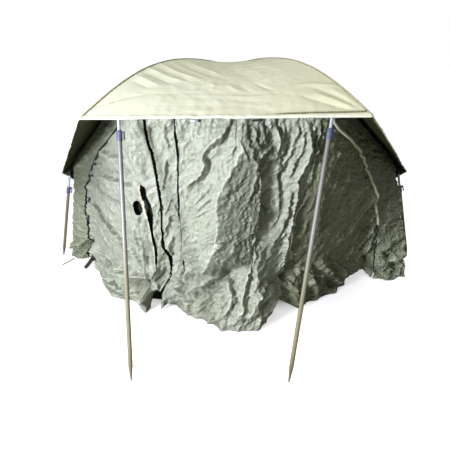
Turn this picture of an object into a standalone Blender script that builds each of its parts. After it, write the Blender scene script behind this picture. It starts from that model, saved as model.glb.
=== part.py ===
"""A fishing umbrella used as a shelter: a six-rib canopy tilted back on four storm poles,
with a loose zipped front wall of nylon.

The shelter is laid out with X to the right, Y to the back and Z up, its front edge at Y = 0
and the ground at Z = 0. The last step moves it so that the origin is the middle of its base.
"""

from math import atan2, cos, exp, pi, sin

import bmesh
import bpy
from mathutils import Matrix, Vector

# Canopy, measured along the middle of the ribs
FRONT_HEIGHT = 1.35
FRONT_HALF_WIDTH = 0.67
SIDE_HEIGHT = 0.745
SIDE_HALF_WIDTH = 1.31
SIDE_SETBACK = 1.40
REAR_TIP_HEIGHT = 0.024
REAR_HALF_WIDTH = 0.70
REAR_SETBACK = 2.20
HUB_HEIGHT = 1.50
HUB_SETBACK = 1.35
HUB_TILT = 28 * pi / 180

# Rise of each rib above the straight line from hub to tip
FRONT_RIB_BOW = 0.130
SIDE_RIB_BOW = 0.150
REAR_RIB_BOW = 0.200

# Droop of the cloth between two ribs
FRONT_GORE_SAG = 0.046
SIDE_GORE_SAG = 0.022
REAR_GORE_SAG = 0.030
SAG_POWER_SHARE = 1.3

# Clearances
CLEARANCE = 0.0003
SEAM_GAP = 0.0008
ARCH_GAP = 0.0012
OVERRUN = 0.004
TURN_MERGE = 0.00005
CAP_MERGE = 0.00002

# Ribs
RIB_RADIUS = 0.0055
TANG_THICKNESS = 0.0045
TANG_EYE_RADIUS = 0.0052
TANG_LAP = 0.012
RIB_START_MARGIN = 0.002
RIB_BEND_MARGIN = 0.016
RIB_CURVE_STEPS = 12

# Cloth
CANOPY_LIFT = 0.012
CANOPY_THICKNESS = 0.002
CANOPY_BORE = 0.020
CANOPY_COLUMNS = 8
WALL_THICKNESS = 0.0018

# Hub
RING_RADIUS = 0.042
RING_WIRE_RADIUS = 0.0016
HUB_RADIUS = 0.055
HUB_DEPTH = 0.010
SLOT_DEPTH = 0.021
BOSS_RADIUS = 0.018
BOSS_DEPTH = 0.038
HUB_BORE = 0.0048
CAP_RADIUS = 0.048
CAP_RIM = 0.003
CAP_CROWN = 0.010
BOLT_RADIUS = 0.0044
BOLT_HEAD_RADIUS = 0.009
BOLT_HEAD_HEIGHT = 0.005
BOLT_REACH = 0.012
BUTTON_RADIUS = 0.013
BUTTON_HEIGHT = 0.010
BUTTON_STEM = 0.020
BUTTON_TRAVEL = 0.006

# Pole blocks on the ribs
BLOCK_WALL = 0.0026
BLOCK_LENGTH = 0.042
BLOCK_CHEEK = 0.003
BLOCK_CHEEK_WIDTH = 0.014
PIN_RADIUS = 0.0025
PIN_DROP = 0.020
TONGUE_THICKNESS = 0.0054
TONGUE_RADIUS = 0.0062
FRONT_BLOCK_STEP = 9.5
SIDE_BLOCK_STEP = 11.5

# Storm poles
UPPER_RADIUS = 0.0090
LOWER_WALL = 0.0026
POLE_PLAY = 0.0006
HEAD_DROP = 0.020
HEAD_LENGTH = 0.034
HEAD_WALL = 0.002
SOCKET_FLOOR = 0.016
FRONT_CLAMP_DROP = 0.185
SIDE_CLAMP_DROP = 0.155
FRONT_ENGAGEMENT = 0.50
SIDE_ENGAGEMENT = 0.22
CLAMP_LENGTH = 0.055
CLAMP_LAP = 0.026
CLAMP_WALL = 0.0035
EAR_THICKNESS = 0.003
EAR_REACH = 0.008
EAR_RADIUS = 0.005
LEVER_THICKNESS = 0.0064
LEVER_LENGTH = 0.040
LEVER_PIN_RADIUS = 0.0018
LEVER_STANDOFF = 0.0008
SPIKE_LENGTH = 0.085
SPIKE_TIP_RADIUS = 0.003
SPIKE_PLUG = 0.030
SPIKE_SHOULDER = 0.006
LEFT_FOOT_INSET = 0.16
RIGHT_FOOT_INSET = 0.345
FRONT_FOOT_REACH = 0.13
SIDE_FOOT_SPREAD = 0.13
SIDE_FOOT_SETBACK = 0.13

# Ground feet of the rear ribs
FOOT_RADIUS = 0.022
FOOT_THICKNESS = 0.006
FOOT_SOCKET_WALL = 0.0022
FOOT_SOCKET_LENGTH = 0.030

# Front wall: places run from -1 at its left end to 1 at its right end, and on over the wings
WALL_HALF_WIDTH = 1.04
WALL_FRONT_SETBACK = 0.36
WALL_SIDE_SETBACK = 1.17
WALL_HEM_HEIGHT = 0.003
WALL_FOLD_DEPTH = 0.040
WALL_SAG = 0.070
SAG_DOWN_SHARE = 0.80
SAG_REACH_SHARE = 0.15
SEAM_FLAT = 0.009
FOLD_RISE = 0.10
FOLD_POWER_SHARE = 0.6
WALL_ROWS = 12
WING_COLUMNS = 9
WALL_HEM_POWER_SHARE = 1.6
WALL_TOP_STEP = 8.9
FRONT_HANG_SHARE = 0.55
WING_END_SHARE = 1.25
WING_TOP_STEP = 11.0
WING_TOP_SHARE = 0.95
WING_SETBACK = 0.03
ARCH_DROP_SHARE = 0.60
CURVED_ZIP_TOP_SHARE = -0.470
CURVED_ZIP_FOOT_SHARE = -0.355
STRAIGHT_ZIP_TOP_SHARE = -0.285
STRAIGHT_ZIP_FOOT_SHARE = -0.245
WINDOW_EDGE_TOP_SHARE = 0.44
WINDOW_EDGE_FOOT_SHARE = 0.30

# Zips
TAPE_WIDTH = 0.012
TAPE_THICKNESS = 0.0012
TAPE_STANDOFF = 0.0008
TAPE_TOP_SHARE = 0.10
TAPE_FOOT_SHARE = 0.96
SLIDER_WIDTH = 0.009
SLIDER_LENGTH = 0.014
SLIDER_THICKNESS = 0.004
PULL_WIDTH = 0.006
PULL_LENGTH = 0.030
PULL_THICKNESS = 0.0014
STRAIGHT_SLIDER_SHARE = 0.88
CURVED_SLIDER_SHARE = 0.50

# Number of sides on round pieces
TUBE_STEPS = 16
HUB_STEPS = 36
CAP_STEPS = 24
WIRE_STEPS = 6
SMALL_STEPS = 12

X_AXIS = Vector((1, 0, 0))
Y_AXIS = Vector((0, 1, 0))
Z_AXIS = Vector((0, 0, 1))

HUB_CENTRE = Vector((0, HUB_SETBACK, HUB_HEIGHT))
HUB_UP = Vector((0, sin(HUB_TILT), cos(HUB_TILT)))

LOWER_BORE = UPPER_RADIUS + POLE_PLAY
LOWER_RADIUS = LOWER_BORE + LOWER_WALL
CLAMP_RADIUS = LOWER_RADIUS + CLEARANCE + CLAMP_WALL
BLOCK_RADIUS = RIB_RADIUS + CLEARANCE + BLOCK_WALL
RIB_START_RADIUS = RING_RADIUS + Vector((HUB_RADIUS - RING_RADIUS, CANOPY_LIFT)).length + RIB_START_MARGIN
RIB_BEND_RADIUS = RIB_START_RADIUS + RIB_BEND_MARGIN

RIB_TIPS = {
    "front_left": Vector((-FRONT_HALF_WIDTH, 0, FRONT_HEIGHT)),
    "side_left": Vector((-SIDE_HALF_WIDTH, SIDE_SETBACK, SIDE_HEIGHT)),
    "rear_left": Vector((-REAR_HALF_WIDTH, REAR_SETBACK, REAR_TIP_HEIGHT)),
    "rear_right": Vector((REAR_HALF_WIDTH, REAR_SETBACK, REAR_TIP_HEIGHT)),
    "side_right": Vector((SIDE_HALF_WIDTH, SIDE_SETBACK, SIDE_HEIGHT)),
    "front_right": Vector((FRONT_HALF_WIDTH, 0, FRONT_HEIGHT)),
}
RIB_BOWS = {"front": FRONT_RIB_BOW, "side": SIDE_RIB_BOW, "rear": REAR_RIB_BOW}
BLOCK_STEPS = {"front": FRONT_BLOCK_STEP, "side": SIDE_BLOCK_STEP}

# Each gore runs from its first rib to its second one, with its outer face up
GORES = {
    "front_gore": ("front_right", "front_left", FRONT_GORE_SAG),
    "left_front_gore": ("front_left", "side_left", SIDE_GORE_SAG),
    "left_rear_gore": ("side_left", "rear_left", REAR_GORE_SAG),
    "rear_gore": ("rear_left", "rear_right", REAR_GORE_SAG),
    "right_rear_gore": ("rear_right", "side_right", REAR_GORE_SAG),
    "right_front_gore": ("side_right", "front_right", SIDE_GORE_SAG),
}

POLE_FEET = {
    "front_left": Vector((-FRONT_HALF_WIDTH + LEFT_FOOT_INSET, -FRONT_FOOT_REACH, 0)),
    "front_right": Vector((FRONT_HALF_WIDTH - RIGHT_FOOT_INSET, -FRONT_FOOT_REACH, 0)),
    "side_left": Vector((-SIDE_HALF_WIDTH - SIDE_FOOT_SPREAD, SIDE_SETBACK + SIDE_FOOT_SETBACK, 0)),
    "side_right": Vector((SIDE_HALF_WIDTH + SIDE_FOOT_SPREAD, SIDE_SETBACK + SIDE_FOOT_SETBACK, 0)),
}
CLAMP_DROPS = {"front": FRONT_CLAMP_DROP, "side": SIDE_CLAMP_DROP}
ENGAGEMENTS = {"front": FRONT_ENGAGEMENT, "side": SIDE_ENGAGEMENT}

# Edges of the wall's panels, each by its place at the top and at the foot
LEFT_ARCH = (-1, -1)
CURVED_ZIP = (CURVED_ZIP_TOP_SHARE, CURVED_ZIP_FOOT_SHARE)
STRAIGHT_ZIP = (STRAIGHT_ZIP_TOP_SHARE, STRAIGHT_ZIP_FOOT_SHARE)
WINDOW_EDGE = (WINDOW_EDGE_TOP_SHARE, WINDOW_EDGE_FOOT_SHARE)
RIGHT_ARCH = (1, 1)

# Each wall panel runs from one edge to another, with a number of columns
WALL_PANELS = {
    "left_door_panel": (LEFT_ARCH, CURVED_ZIP, 13),
    "door_leaf_panel": (CURVED_ZIP, STRAIGHT_ZIP, 5),
    "centre_wall_panel": (STRAIGHT_ZIP, WINDOW_EDGE, 16),
    "window_wall_panel": (WINDOW_EDGE, RIGHT_ARCH, 14),
}

# The hem's way in and out on the ground: (place, how far it lies behind its even curve)
HEM_SWAYS = (
    (-1.25, 0.130), (-1.01, 0.059), (-0.87, -0.073), (-0.787, -0.100), (-0.62, -0.025),
    (-0.51, -0.016), (-0.40, 0.080), (-0.22, 0.077), (-0.12, 0.037), (0.0, -0.015),
    (0.111, -0.044), (0.185, -0.078), (0.24, 0.020), (0.29, 0.080), (0.54, 0.071),
    (0.79, 0.076), (0.94, 0.070), (1.01, -0.050), (1.25, -0.080),
)

# Shallow folds of the hanging cloth: waves across a panel, slant, and share of the fold depth
WALL_FOLDS = (
    (3.0, 0.55, 1.00),
    (5.0, -1.30, 0.55),
    (8.0, 2.10, 0.28),
)


def clear_scene():
    for item in list(bpy.data.objects):
        bpy.data.objects.remove(item, do_unlink=True)


def make_collection(name):
    collection = bpy.data.collections.new(name)
    bpy.context.scene.collection.children.link(collection)
    return collection


def make_material(name, colour, roughness, metallic=0.0):
    material = bpy.data.materials.new(name)
    material.use_nodes = True
    shader = material.node_tree.nodes["Principled BSDF"]
    shader.inputs["Base Color"].default_value = (*colour, 1.0)
    shader.inputs["Roughness"].default_value = roughness
    shader.inputs["Metallic"].default_value = metallic
    return material


clear_scene()
PARTS = make_collection("fishing_umbrella")
CUTTERS = make_collection("cutters")
GUIDES = make_collection("joint_frames")

CANOPY_CLOTH = make_material("canopy_cloth", (0.60, 0.60, 0.46), 0.55)
WALL_CLOTH = make_material("wall_cloth", (0.30, 0.32, 0.22), 0.45)
WING_CLOTH = make_material("wing_cloth", (0.24, 0.26, 0.16), 0.50)
RIB_STEEL = make_material("rib_steel", (0.20, 0.20, 0.20), 0.35, 0.9)
BARE_ALUMINIUM = make_material("bare_aluminium", (0.75, 0.76, 0.78), 0.25, 1.0)
OLIVE_PAINT = make_material("olive_paint", (0.27, 0.25, 0.17), 0.45, 0.3)
DARK_PLASTIC = make_material("dark_plastic", (0.04, 0.045, 0.05), 0.45)
GREY_PLASTIC = make_material("grey_plastic", (0.22, 0.26, 0.32), 0.40)
ZIP_PLASTIC = make_material("zip_plastic", (0.05, 0.05, 0.04), 0.5)
RED_PULL = make_material("red_pull", (0.25, 0.07, 0.03), 0.5)


def frame_matrix(origin, x_direction, z_direction):
    """A right-handed frame whose Z is exact and whose X is as near as it can be."""
    z_axis = z_direction.normalized()
    y_axis = z_axis.cross(x_direction).normalized()
    x_axis = y_axis.cross(z_axis)
    rotation = Matrix((x_axis, y_axis, z_axis)).transposed().to_4x4()
    return Matrix.Translation(origin) @ rotation


def side_of(rib):
    return rib.split("_")[0]


class RibLine:
    """The middle line of a rib, in the plane of the hub's axis and the rib's tip."""

    def __init__(self, name):
        reach = RIB_TIPS[name] - HUB_CENTRE
        self.up = HUB_UP
        self.height = reach.dot(HUB_UP)
        outward = reach - HUB_UP * self.height
        self.length = outward.length
        self.outward = outward.normalized()
        self.axis = HUB_UP.cross(self.outward).normalized()
        self.hinge = HUB_CENTRE + self.outward * RING_RADIUS
        self.bow = RIB_BOWS[side_of(name)]
        self.stations = self.curve_stations()

    def curve_stations(self):
        """Distance out and height of the bend at the hub and of each step to the tip."""
        start = Vector((RIB_BEND_RADIUS, 0))
        chord = Vector((self.length, self.height)) - start
        rise = Vector((-chord.y, chord.x)).normalized() * self.bow
        shares = [step / RIB_CURVE_STEPS for step in range(RIB_CURVE_STEPS + 1)]
        return [start + chord * share + rise * sin(pi * share) for share in shares]

    def place(self, station):
        return HUB_CENTRE + self.outward * station.x + self.up * station.y

    def lifted_stations(self, lift):
        """The stations moved square to the rib, up by the lift."""
        moved = []
        last = len(self.stations) - 1
        for index, station in enumerate(self.stations):
            before = self.stations[index - 1] if index else station - Vector((RIB_BEND_MARGIN, 0))
            after = self.stations[index + 1] if index < last else station
            run = (after - before).normalized()
            moved.append(station + Vector((-run.y, run.x)) * lift)
        return moved

    def skin_row(self, lift):
        """Points of the cloth over this rib, from its bore at the hub to the tip."""
        inner = [Vector((CANOPY_BORE, lift)), Vector(((CANOPY_BORE + RIB_BEND_RADIUS) / 2, lift))]
        return [self.place(station) for station in inner + self.lifted_stations(lift)]

    def point(self, step):
        """A point on the middle line, a number of steps out from the bend."""
        index = min(int(step), RIB_CURVE_STEPS - 1)
        low = self.place(self.stations[index])
        high = self.place(self.stations[index + 1])
        return low.lerp(high, step - index)

    def direction(self, step):
        index = min(int(step), RIB_CURVE_STEPS - 1)
        return (self.place(self.stations[index + 1]) - self.place(self.stations[index])).normalized()


RIB_LINES = {name: RibLine(name) for name in RIB_TIPS}
HUB_ROWS = 2
SKIN_ROWS = RIB_CURVE_STEPS + HUB_ROWS


def gore_point(gore, across, row, lift, reach=SEAM_GAP / 2):
    """A point of a gore: across from rib to rib, and a row number from hub to hem."""
    first, second, sag = GORES[gore]
    low = int(min(row, SKIN_ROWS - 1))
    part = row - low
    first_row = RIB_LINES[first].skin_row(lift)
    second_row = RIB_LINES[second].skin_row(lift)
    start = first_row[low].lerp(first_row[low + 1], part)
    end = second_row[low].lerp(second_row[low + 1], part)
    run = (end - start).normalized()
    start = start + run * reach
    end = end - run * reach
    share = max(row - HUB_ROWS, 0) / RIB_CURVE_STEPS
    outward = RIB_LINES[first].outward + RIB_LINES[second].outward
    down = -(HUB_UP + outward.normalized() * share * sin(HUB_TILT)).normalized()
    return start.lerp(end, across) + down * sag * sin(pi * across) * sin(pi * share ** SAG_POWER_SHARE)


def link_part(item, material, parent):
    PARTS.objects.link(item)
    item.data.materials.clear()
    item.data.materials.append(material)
    item.parent = parent
    return item


def mesh_object(name, mesh_data):
    mesh = bpy.data.meshes.new(name)
    mesh_data.to_mesh(mesh)
    mesh_data.free()
    return bpy.data.objects.new(name, mesh)


def round_off(item):
    item.data.shade_smooth()
    item.data.set_sharp_from_angle(angle=pi / 5)


def make_frame(name, matrix, parent):
    """An empty that marks a joint or a seat: its Z is the axis."""
    frame = bpy.data.objects.new(name, None)
    frame.empty_display_size = CLAMP_LENGTH
    GUIDES.objects.link(frame)
    frame.parent = parent
    frame.matrix_world = matrix
    return frame


def turned(name, profile, closed, steps=TUBE_STEPS):
    """A turned piece about Z: the profile runs down its outer side."""
    mesh_data = bmesh.new()
    corners = [mesh_data.verts.new((radius, 0, height)) for radius, height in profile]
    for low, high in zip(corners, corners[1:]):
        mesh_data.edges.new((low, high))
    if closed:
        mesh_data.edges.new((corners[-1], corners[0]))
    item = mesh_object(name, mesh_data)
    screw = item.modifiers.new("turn", "SCREW")
    screw.axis = "Z"
    screw.angle = 2 * pi
    screw.steps = steps
    screw.render_steps = steps
    screw.use_merge_vertices = True
    screw.merge_threshold = TURN_MERGE
    screw.use_normal_calculate = False
    return item


def ring_profile(inner, outer, low, high):
    return ((outer, high), (outer, low), (inner, low), (inner, high))


def block_shape(name, size, centre):
    """A box of a given size about a centre."""
    mesh_data = bmesh.new()
    scaling = Matrix.Diagonal((*size, 1))
    bmesh.ops.create_cube(mesh_data, size=1, matrix=Matrix.Translation(centre) @ scaling)
    return mesh_object(name, mesh_data)


def rod_shape(name, radius, length, centre, direction, steps=SMALL_STEPS):
    """A solid rod about a centre, along a direction."""
    mesh_data = bmesh.new()
    turn = direction.to_track_quat("Z", "Y").to_matrix().to_4x4()
    bmesh.ops.create_cone(
        mesh_data, cap_ends=True, segments=steps, radius1=radius, radius2=radius,
        depth=length, matrix=Matrix.Translation(centre) @ turn)
    return mesh_object(name, mesh_data)


def tube_curve(name, points, radius):
    """A round bar through points, welded shut at both ends."""
    curve = bpy.data.curves.new(name, "CURVE")
    curve.dimensions = "3D"
    curve.bevel_depth = radius
    curve.bevel_resolution = 2
    curve.use_fill_caps = True
    spline = curve.splines.new("POLY")
    spline.points.add(len(points) - 1)
    for target, point in zip(spline.points, points):
        target.co = (*point, 1)
    source = bpy.data.objects.new(name + "_curve", curve)
    GUIDES.objects.link(source)
    bpy.context.view_layer.update()
    depsgraph = bpy.context.evaluated_depsgraph_get()
    mesh = bpy.data.meshes.new_from_object(source.evaluated_get(depsgraph))
    mesh_data = bmesh.new()
    mesh_data.from_mesh(mesh)
    bmesh.ops.remove_doubles(mesh_data, verts=mesh_data.verts, dist=CAP_MERGE)
    item = mesh_object(name, mesh_data)
    item.matrix_world = source.matrix_world
    bpy.data.objects.remove(source, do_unlink=True)
    return item


def join_shapes(base, tools, operation):
    """Adds or cuts shapes that share the base's frame."""
    for tool in tools:
        CUTTERS.objects.link(tool)
        tool.parent = base
        tool.hide_render = True
        tool.display_type = "WIRE"
        boolean = base.modifiers.new(operation.lower(), "BOOLEAN")
        boolean.operation = operation
        boolean.solver = "EXACT"
        boolean.object = tool
    return base


def grid_cloth(name, columns, rows, place, thickness):
    """A sheet of cloth: a grid whose every corner is placed by a rule."""
    mesh_data = bmesh.new()
    half = 0.5
    bmesh.ops.create_grid(mesh_data, x_segments=columns, y_segments=rows, size=half)
    for corner in mesh_data.verts:
        corner.co = place(corner.co.x + half, corner.co.y + half)
    item = mesh_object(name, mesh_data)
    solidify = item.modifiers.new("cloth", "SOLIDIFY")
    solidify.thickness = thickness
    solidify.offset = 1
    item.data.shade_smooth()
    return item


SHELTER = bpy.data.objects.new("shelter", None)
GUIDES.objects.link(SHELTER)
HUB_FRAME = make_frame("hub_frame", frame_matrix(HUB_CENTRE, X_AXIS, HUB_UP), SHELTER)


def in_frame(item, material, frame):
    """Places a piece that was made about its joint's own frame."""
    link_part(item, material, frame)
    round_off(item)
    return item


def make_hub():
    """The slotted block, the ring that the ribs turn on, the cap, its bolt and the button."""
    groove = RING_WIRE_RADIUS + CLEARANCE
    top = CANOPY_LIFT - CLEARANCE
    profile = (
        (HUB_RADIUS, top), (HUB_RADIUS, -HUB_DEPTH), (BOSS_RADIUS, -HUB_DEPTH),
        (BOSS_RADIUS, -BOSS_DEPTH), (HUB_BORE, -BOSS_DEPTH), (HUB_BORE, top),
        (RING_RADIUS - groove, top), (RING_RADIUS - groove, -groove),
        (RING_RADIUS + groove, -groove), (RING_RADIUS + groove, top),
    )
    block = turned("hub_block", profile, True, HUB_STEPS)
    slots = []
    slot_length = SLOT_DEPTH + OVERRUN
    slot_height = 2 * (CANOPY_LIFT + HUB_DEPTH)
    for name, line in RIB_LINES.items():
        local = HUB_FRAME.matrix_world.to_3x3().inverted() @ line.outward
        middle = HUB_RADIUS + OVERRUN - slot_length / 2
        slot = block_shape(
            name + "_slot", (slot_length, TANG_THICKNESS + 2 * CLEARANCE, slot_height),
            Vector((middle, 0, 0)))
        slot.data.transform(Matrix.Rotation(atan2(local.y, local.x), 4, "Z"))
        slots.append(slot)
    join_shapes(block, slots, "DIFFERENCE")
    in_frame(block, DARK_PLASTIC, HUB_FRAME)

    turns = [-2 * pi * step / WIRE_STEPS for step in range(WIRE_STEPS)]
    ring = turned("rib_pivot_ring", [
        (RING_RADIUS + RING_WIRE_RADIUS * cos(turn), RING_WIRE_RADIUS * sin(turn))
        for turn in turns], True, HUB_STEPS)
    in_frame(ring, BARE_ALUMINIUM, HUB_FRAME)

    base = CANOPY_LIFT + CANOPY_THICKNESS + CLEARANCE
    bore = BOLT_RADIUS + CLEARANCE
    crown = base + CAP_CROWN
    cap = turned("hub_top_cap", (
        (BOLT_HEAD_RADIUS + CAP_RIM, crown), (CAP_RADIUS * cos(pi / 6), base + CAP_CROWN * sin(pi / 4)),
        (CAP_RADIUS, base + CAP_RIM), (CAP_RADIUS, base), (bore, base), (bore, crown)), True, CAP_STEPS)
    in_frame(cap, DARK_PLASTIC, HUB_FRAME)

    seat = crown + CLEARANCE
    bolt = turned("hub_bolt", (
        (0, seat + BOLT_HEAD_HEIGHT), (BOLT_HEAD_RADIUS * cos(pi / 6), seat + BOLT_HEAD_HEIGHT),
        (BOLT_HEAD_RADIUS, seat + BOLT_HEAD_HEIGHT / 2), (BOLT_HEAD_RADIUS, seat),
        (BOLT_RADIUS, seat), (BOLT_RADIUS, -BOLT_REACH), (0, -BOLT_REACH)), False)
    in_frame(bolt, BARE_ALUMINIUM, HUB_FRAME)

    button_frame = make_frame(
        "tension_button_frame",
        HUB_FRAME.matrix_world @ Matrix.Translation((0, 0, -BOSS_DEPTH - BUTTON_TRAVEL - CLEARANCE)),
        HUB_FRAME)
    stem = HUB_BORE - CLEARANCE
    button = turned("tension_button", (
        (0, BUTTON_STEM), (stem, BUTTON_STEM), (stem, 0), (BUTTON_RADIUS, 0),
        (BUTTON_RADIUS, -BUTTON_HEIGHT * cos(pi / 4)), (BUTTON_RADIUS * cos(pi / 6), -BUTTON_HEIGHT),
        (0, -BUTTON_HEIGHT)), False)
    in_frame(button, GREY_PLASTIC, button_frame)


def make_rib(name):
    """A tube with a flat eyed tang that turns on the hub's ring."""
    line = RIB_LINES[name]
    frame = make_frame(name + "_rib_hinge", frame_matrix(line.hinge, line.outward, line.axis), SHELTER)
    to_local = frame.matrix_world.inverted()
    start = HUB_CENTRE + line.outward * RIB_START_RADIUS
    points = [start] + [line.place(station) for station in line.stations]
    rib = tube_curve(name + "_rib", [to_local @ point for point in points], RIB_RADIUS)
    tang_end = RIB_START_RADIUS + TANG_LAP - RING_RADIUS
    tang = block_shape(
        name + "_tang", (tang_end, 2 * TANG_EYE_RADIUS, TANG_THICKNESS), Vector((tang_end / 2, 0, 0)))
    eye = rod_shape(name + "_eye", TANG_EYE_RADIUS, TANG_THICKNESS, Vector((0, 0, 0)), Z_AXIS, TUBE_STEPS)
    bore = rod_shape(
        name + "_eye_bore", RING_WIRE_RADIUS + CLEARANCE, TANG_THICKNESS + OVERRUN,
        Vector((0, 0, 0)), Z_AXIS, TUBE_STEPS)
    join_shapes(rib, [tang, eye], "UNION")
    join_shapes(rib, [bore], "DIFFERENCE")
    in_frame(rib, RIB_STEEL, frame)
    return frame


def make_pole_block(name, hinge):
    """A sleeve on the rib with two cheeks and the pin that the pole hangs from."""
    line = RIB_LINES[name]
    step = BLOCK_STEPS[side_of(name)]
    along = line.direction(step)
    middle = line.point(step)
    pin_direction = along.cross(POLE_FEET[name] - middle).normalized()
    frame = make_frame(name + "_block_seat", frame_matrix(middle, pin_direction, along), hinge)
    block = turned(
        name + "_pole_block",
        ring_profile(RIB_RADIUS + CLEARANCE, BLOCK_RADIUS, -BLOCK_LENGTH / 2, BLOCK_LENGTH / 2), True)
    # In this frame X is the pin's axis, Z runs along the rib and Y points up or down
    down = -1 if (frame.matrix_world.to_3x3() @ Y_AXIS).z > 0 else 1
    spread = TONGUE_THICKNESS / 2 + CLEARANCE + BLOCK_CHEEK / 2
    root = RIB_RADIUS + CLEARANCE * 2
    height = PIN_DROP - root
    additions = []
    for sign in (-1, 1):
        cheek = block_shape(
            name + "_cheek", (BLOCK_CHEEK, height, BLOCK_CHEEK_WIDTH),
            Vector((sign * spread, down * (root + height / 2), 0)))
        knuckle = rod_shape(
            name + "_knuckle", BLOCK_CHEEK_WIDTH / 2, BLOCK_CHEEK,
            Vector((sign * spread, down * PIN_DROP, 0)), X_AXIS, TUBE_STEPS)
        additions += [cheek, knuckle]
    pin = rod_shape(
        name + "_pin", PIN_RADIUS, 2 * (spread + BLOCK_CHEEK), Vector((0, down * PIN_DROP, 0)), X_AXIS)
    join_shapes(block, additions + [pin], "UNION")
    in_frame(block, DARK_PLASTIC, frame)
    return frame.matrix_world @ Vector((0, down * PIN_DROP, 0)), pin_direction


def make_pole(name, hinge, pin, pin_axis):
    """A telescopic storm pole: head, upper tube, clamp with its lever, lower tube and spike."""
    side = side_of(name)
    foot = POLE_FEET[name]
    length = (foot - pin).length
    swivel = make_frame(name + "_pole_swivel", frame_matrix(pin, Z_AXIS, pin_axis), hinge)
    tube_frame = make_frame(name + "_pole_axis", frame_matrix(pin, X_AXIS, pin - foot), swivel)

    # Head: a tongue on the pin, square to it, and a socket that holds the upper tube
    pin_direction = tube_frame.matrix_world.to_3x3().inverted() @ pin_axis
    head_radius = UPPER_RADIUS + CLEARANCE + HEAD_WALL
    head_low = -HEAD_DROP - HEAD_LENGTH
    head = turned(name + "_pole_head", (
        (0, -HEAD_DROP), (head_radius, -HEAD_DROP), (head_radius, head_low),
        (UPPER_RADIUS + CLEARANCE, head_low), (UPPER_RADIUS + CLEARANCE, head_low + SOCKET_FLOOR),
        (0, head_low + SOCKET_FLOOR)), False)
    tongue_length = HEAD_DROP + HEAD_WALL
    tongue_matrix = frame_matrix(Vector((0, 0, 0)), pin_direction, Z_AXIS)
    tongue = block_shape(
        name + "_tongue", (TONGUE_THICKNESS, 2 * TONGUE_RADIUS, tongue_length),
        Vector((0, 0, -tongue_length / 2)))
    tongue.data.transform(tongue_matrix)
    eye_direction = tongue_matrix.to_3x3() @ X_AXIS
    eye = rod_shape(
        name + "_tongue_eye", TONGUE_RADIUS, TONGUE_THICKNESS, Vector((0, 0, 0)), eye_direction, TUBE_STEPS)
    bore = rod_shape(
        name + "_tongue_bore", PIN_RADIUS + 2 * CLEARANCE, TONGUE_THICKNESS * 3,
        Vector((0, 0, 0)), pin_direction, TUBE_STEPS)
    join_shapes(head, [tongue, eye], "UNION")
    join_shapes(head, [bore], "DIFFERENCE")
    in_frame(head, DARK_PLASTIC, tube_frame)

    clamp_top = -CLAMP_DROPS[side]
    lower_top = clamp_top - CLAMP_LENGTH + CLAMP_LAP
    upper_top = head_low + SOCKET_FLOOR - CLEARANCE
    upper_low = lower_top - ENGAGEMENTS[side]
    upper = turned(
        name + "_pole_upper_tube",
        ((0, upper_top), (UPPER_RADIUS, upper_top), (UPPER_RADIUS, upper_low), (0, upper_low)), False)
    in_frame(upper, BARE_ALUMINIUM, tube_frame)

    slide = make_frame(name + "_pole_slide", tube_frame.matrix_world, tube_frame)
    spike_top = -length + SPIKE_LENGTH
    lower = turned(
        name + "_pole_lower_tube", ring_profile(LOWER_BORE, LOWER_RADIUS, spike_top, lower_top), True)
    in_frame(lower, OLIVE_PAINT, slide)

    plug = LOWER_BORE - CLEARANCE
    spike = turned(name + "_pole_spike", (
        (0, spike_top + SPIKE_PLUG), (plug, spike_top + SPIKE_PLUG), (plug, spike_top - CLEARANCE),
        (LOWER_RADIUS, spike_top - CLEARANCE), (LOWER_RADIUS, spike_top - SPIKE_SHOULDER),
        (SPIKE_TIP_RADIUS, -length - OVERRUN), (0, -length - OVERRUN)), False)
    ground = block_shape(
        name + "_ground", (SPIKE_LENGTH, SPIKE_LENGTH, SPIKE_LENGTH), Vector((0, 0, -SPIKE_LENGTH / 2)))
    ground.data.transform(slide.matrix_world.inverted() @ Matrix.Translation(foot))
    join_shapes(spike, [ground], "DIFFERENCE")
    in_frame(spike, DARK_PLASTIC, slide)

    make_clamp(name, slide, clamp_top)


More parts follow.
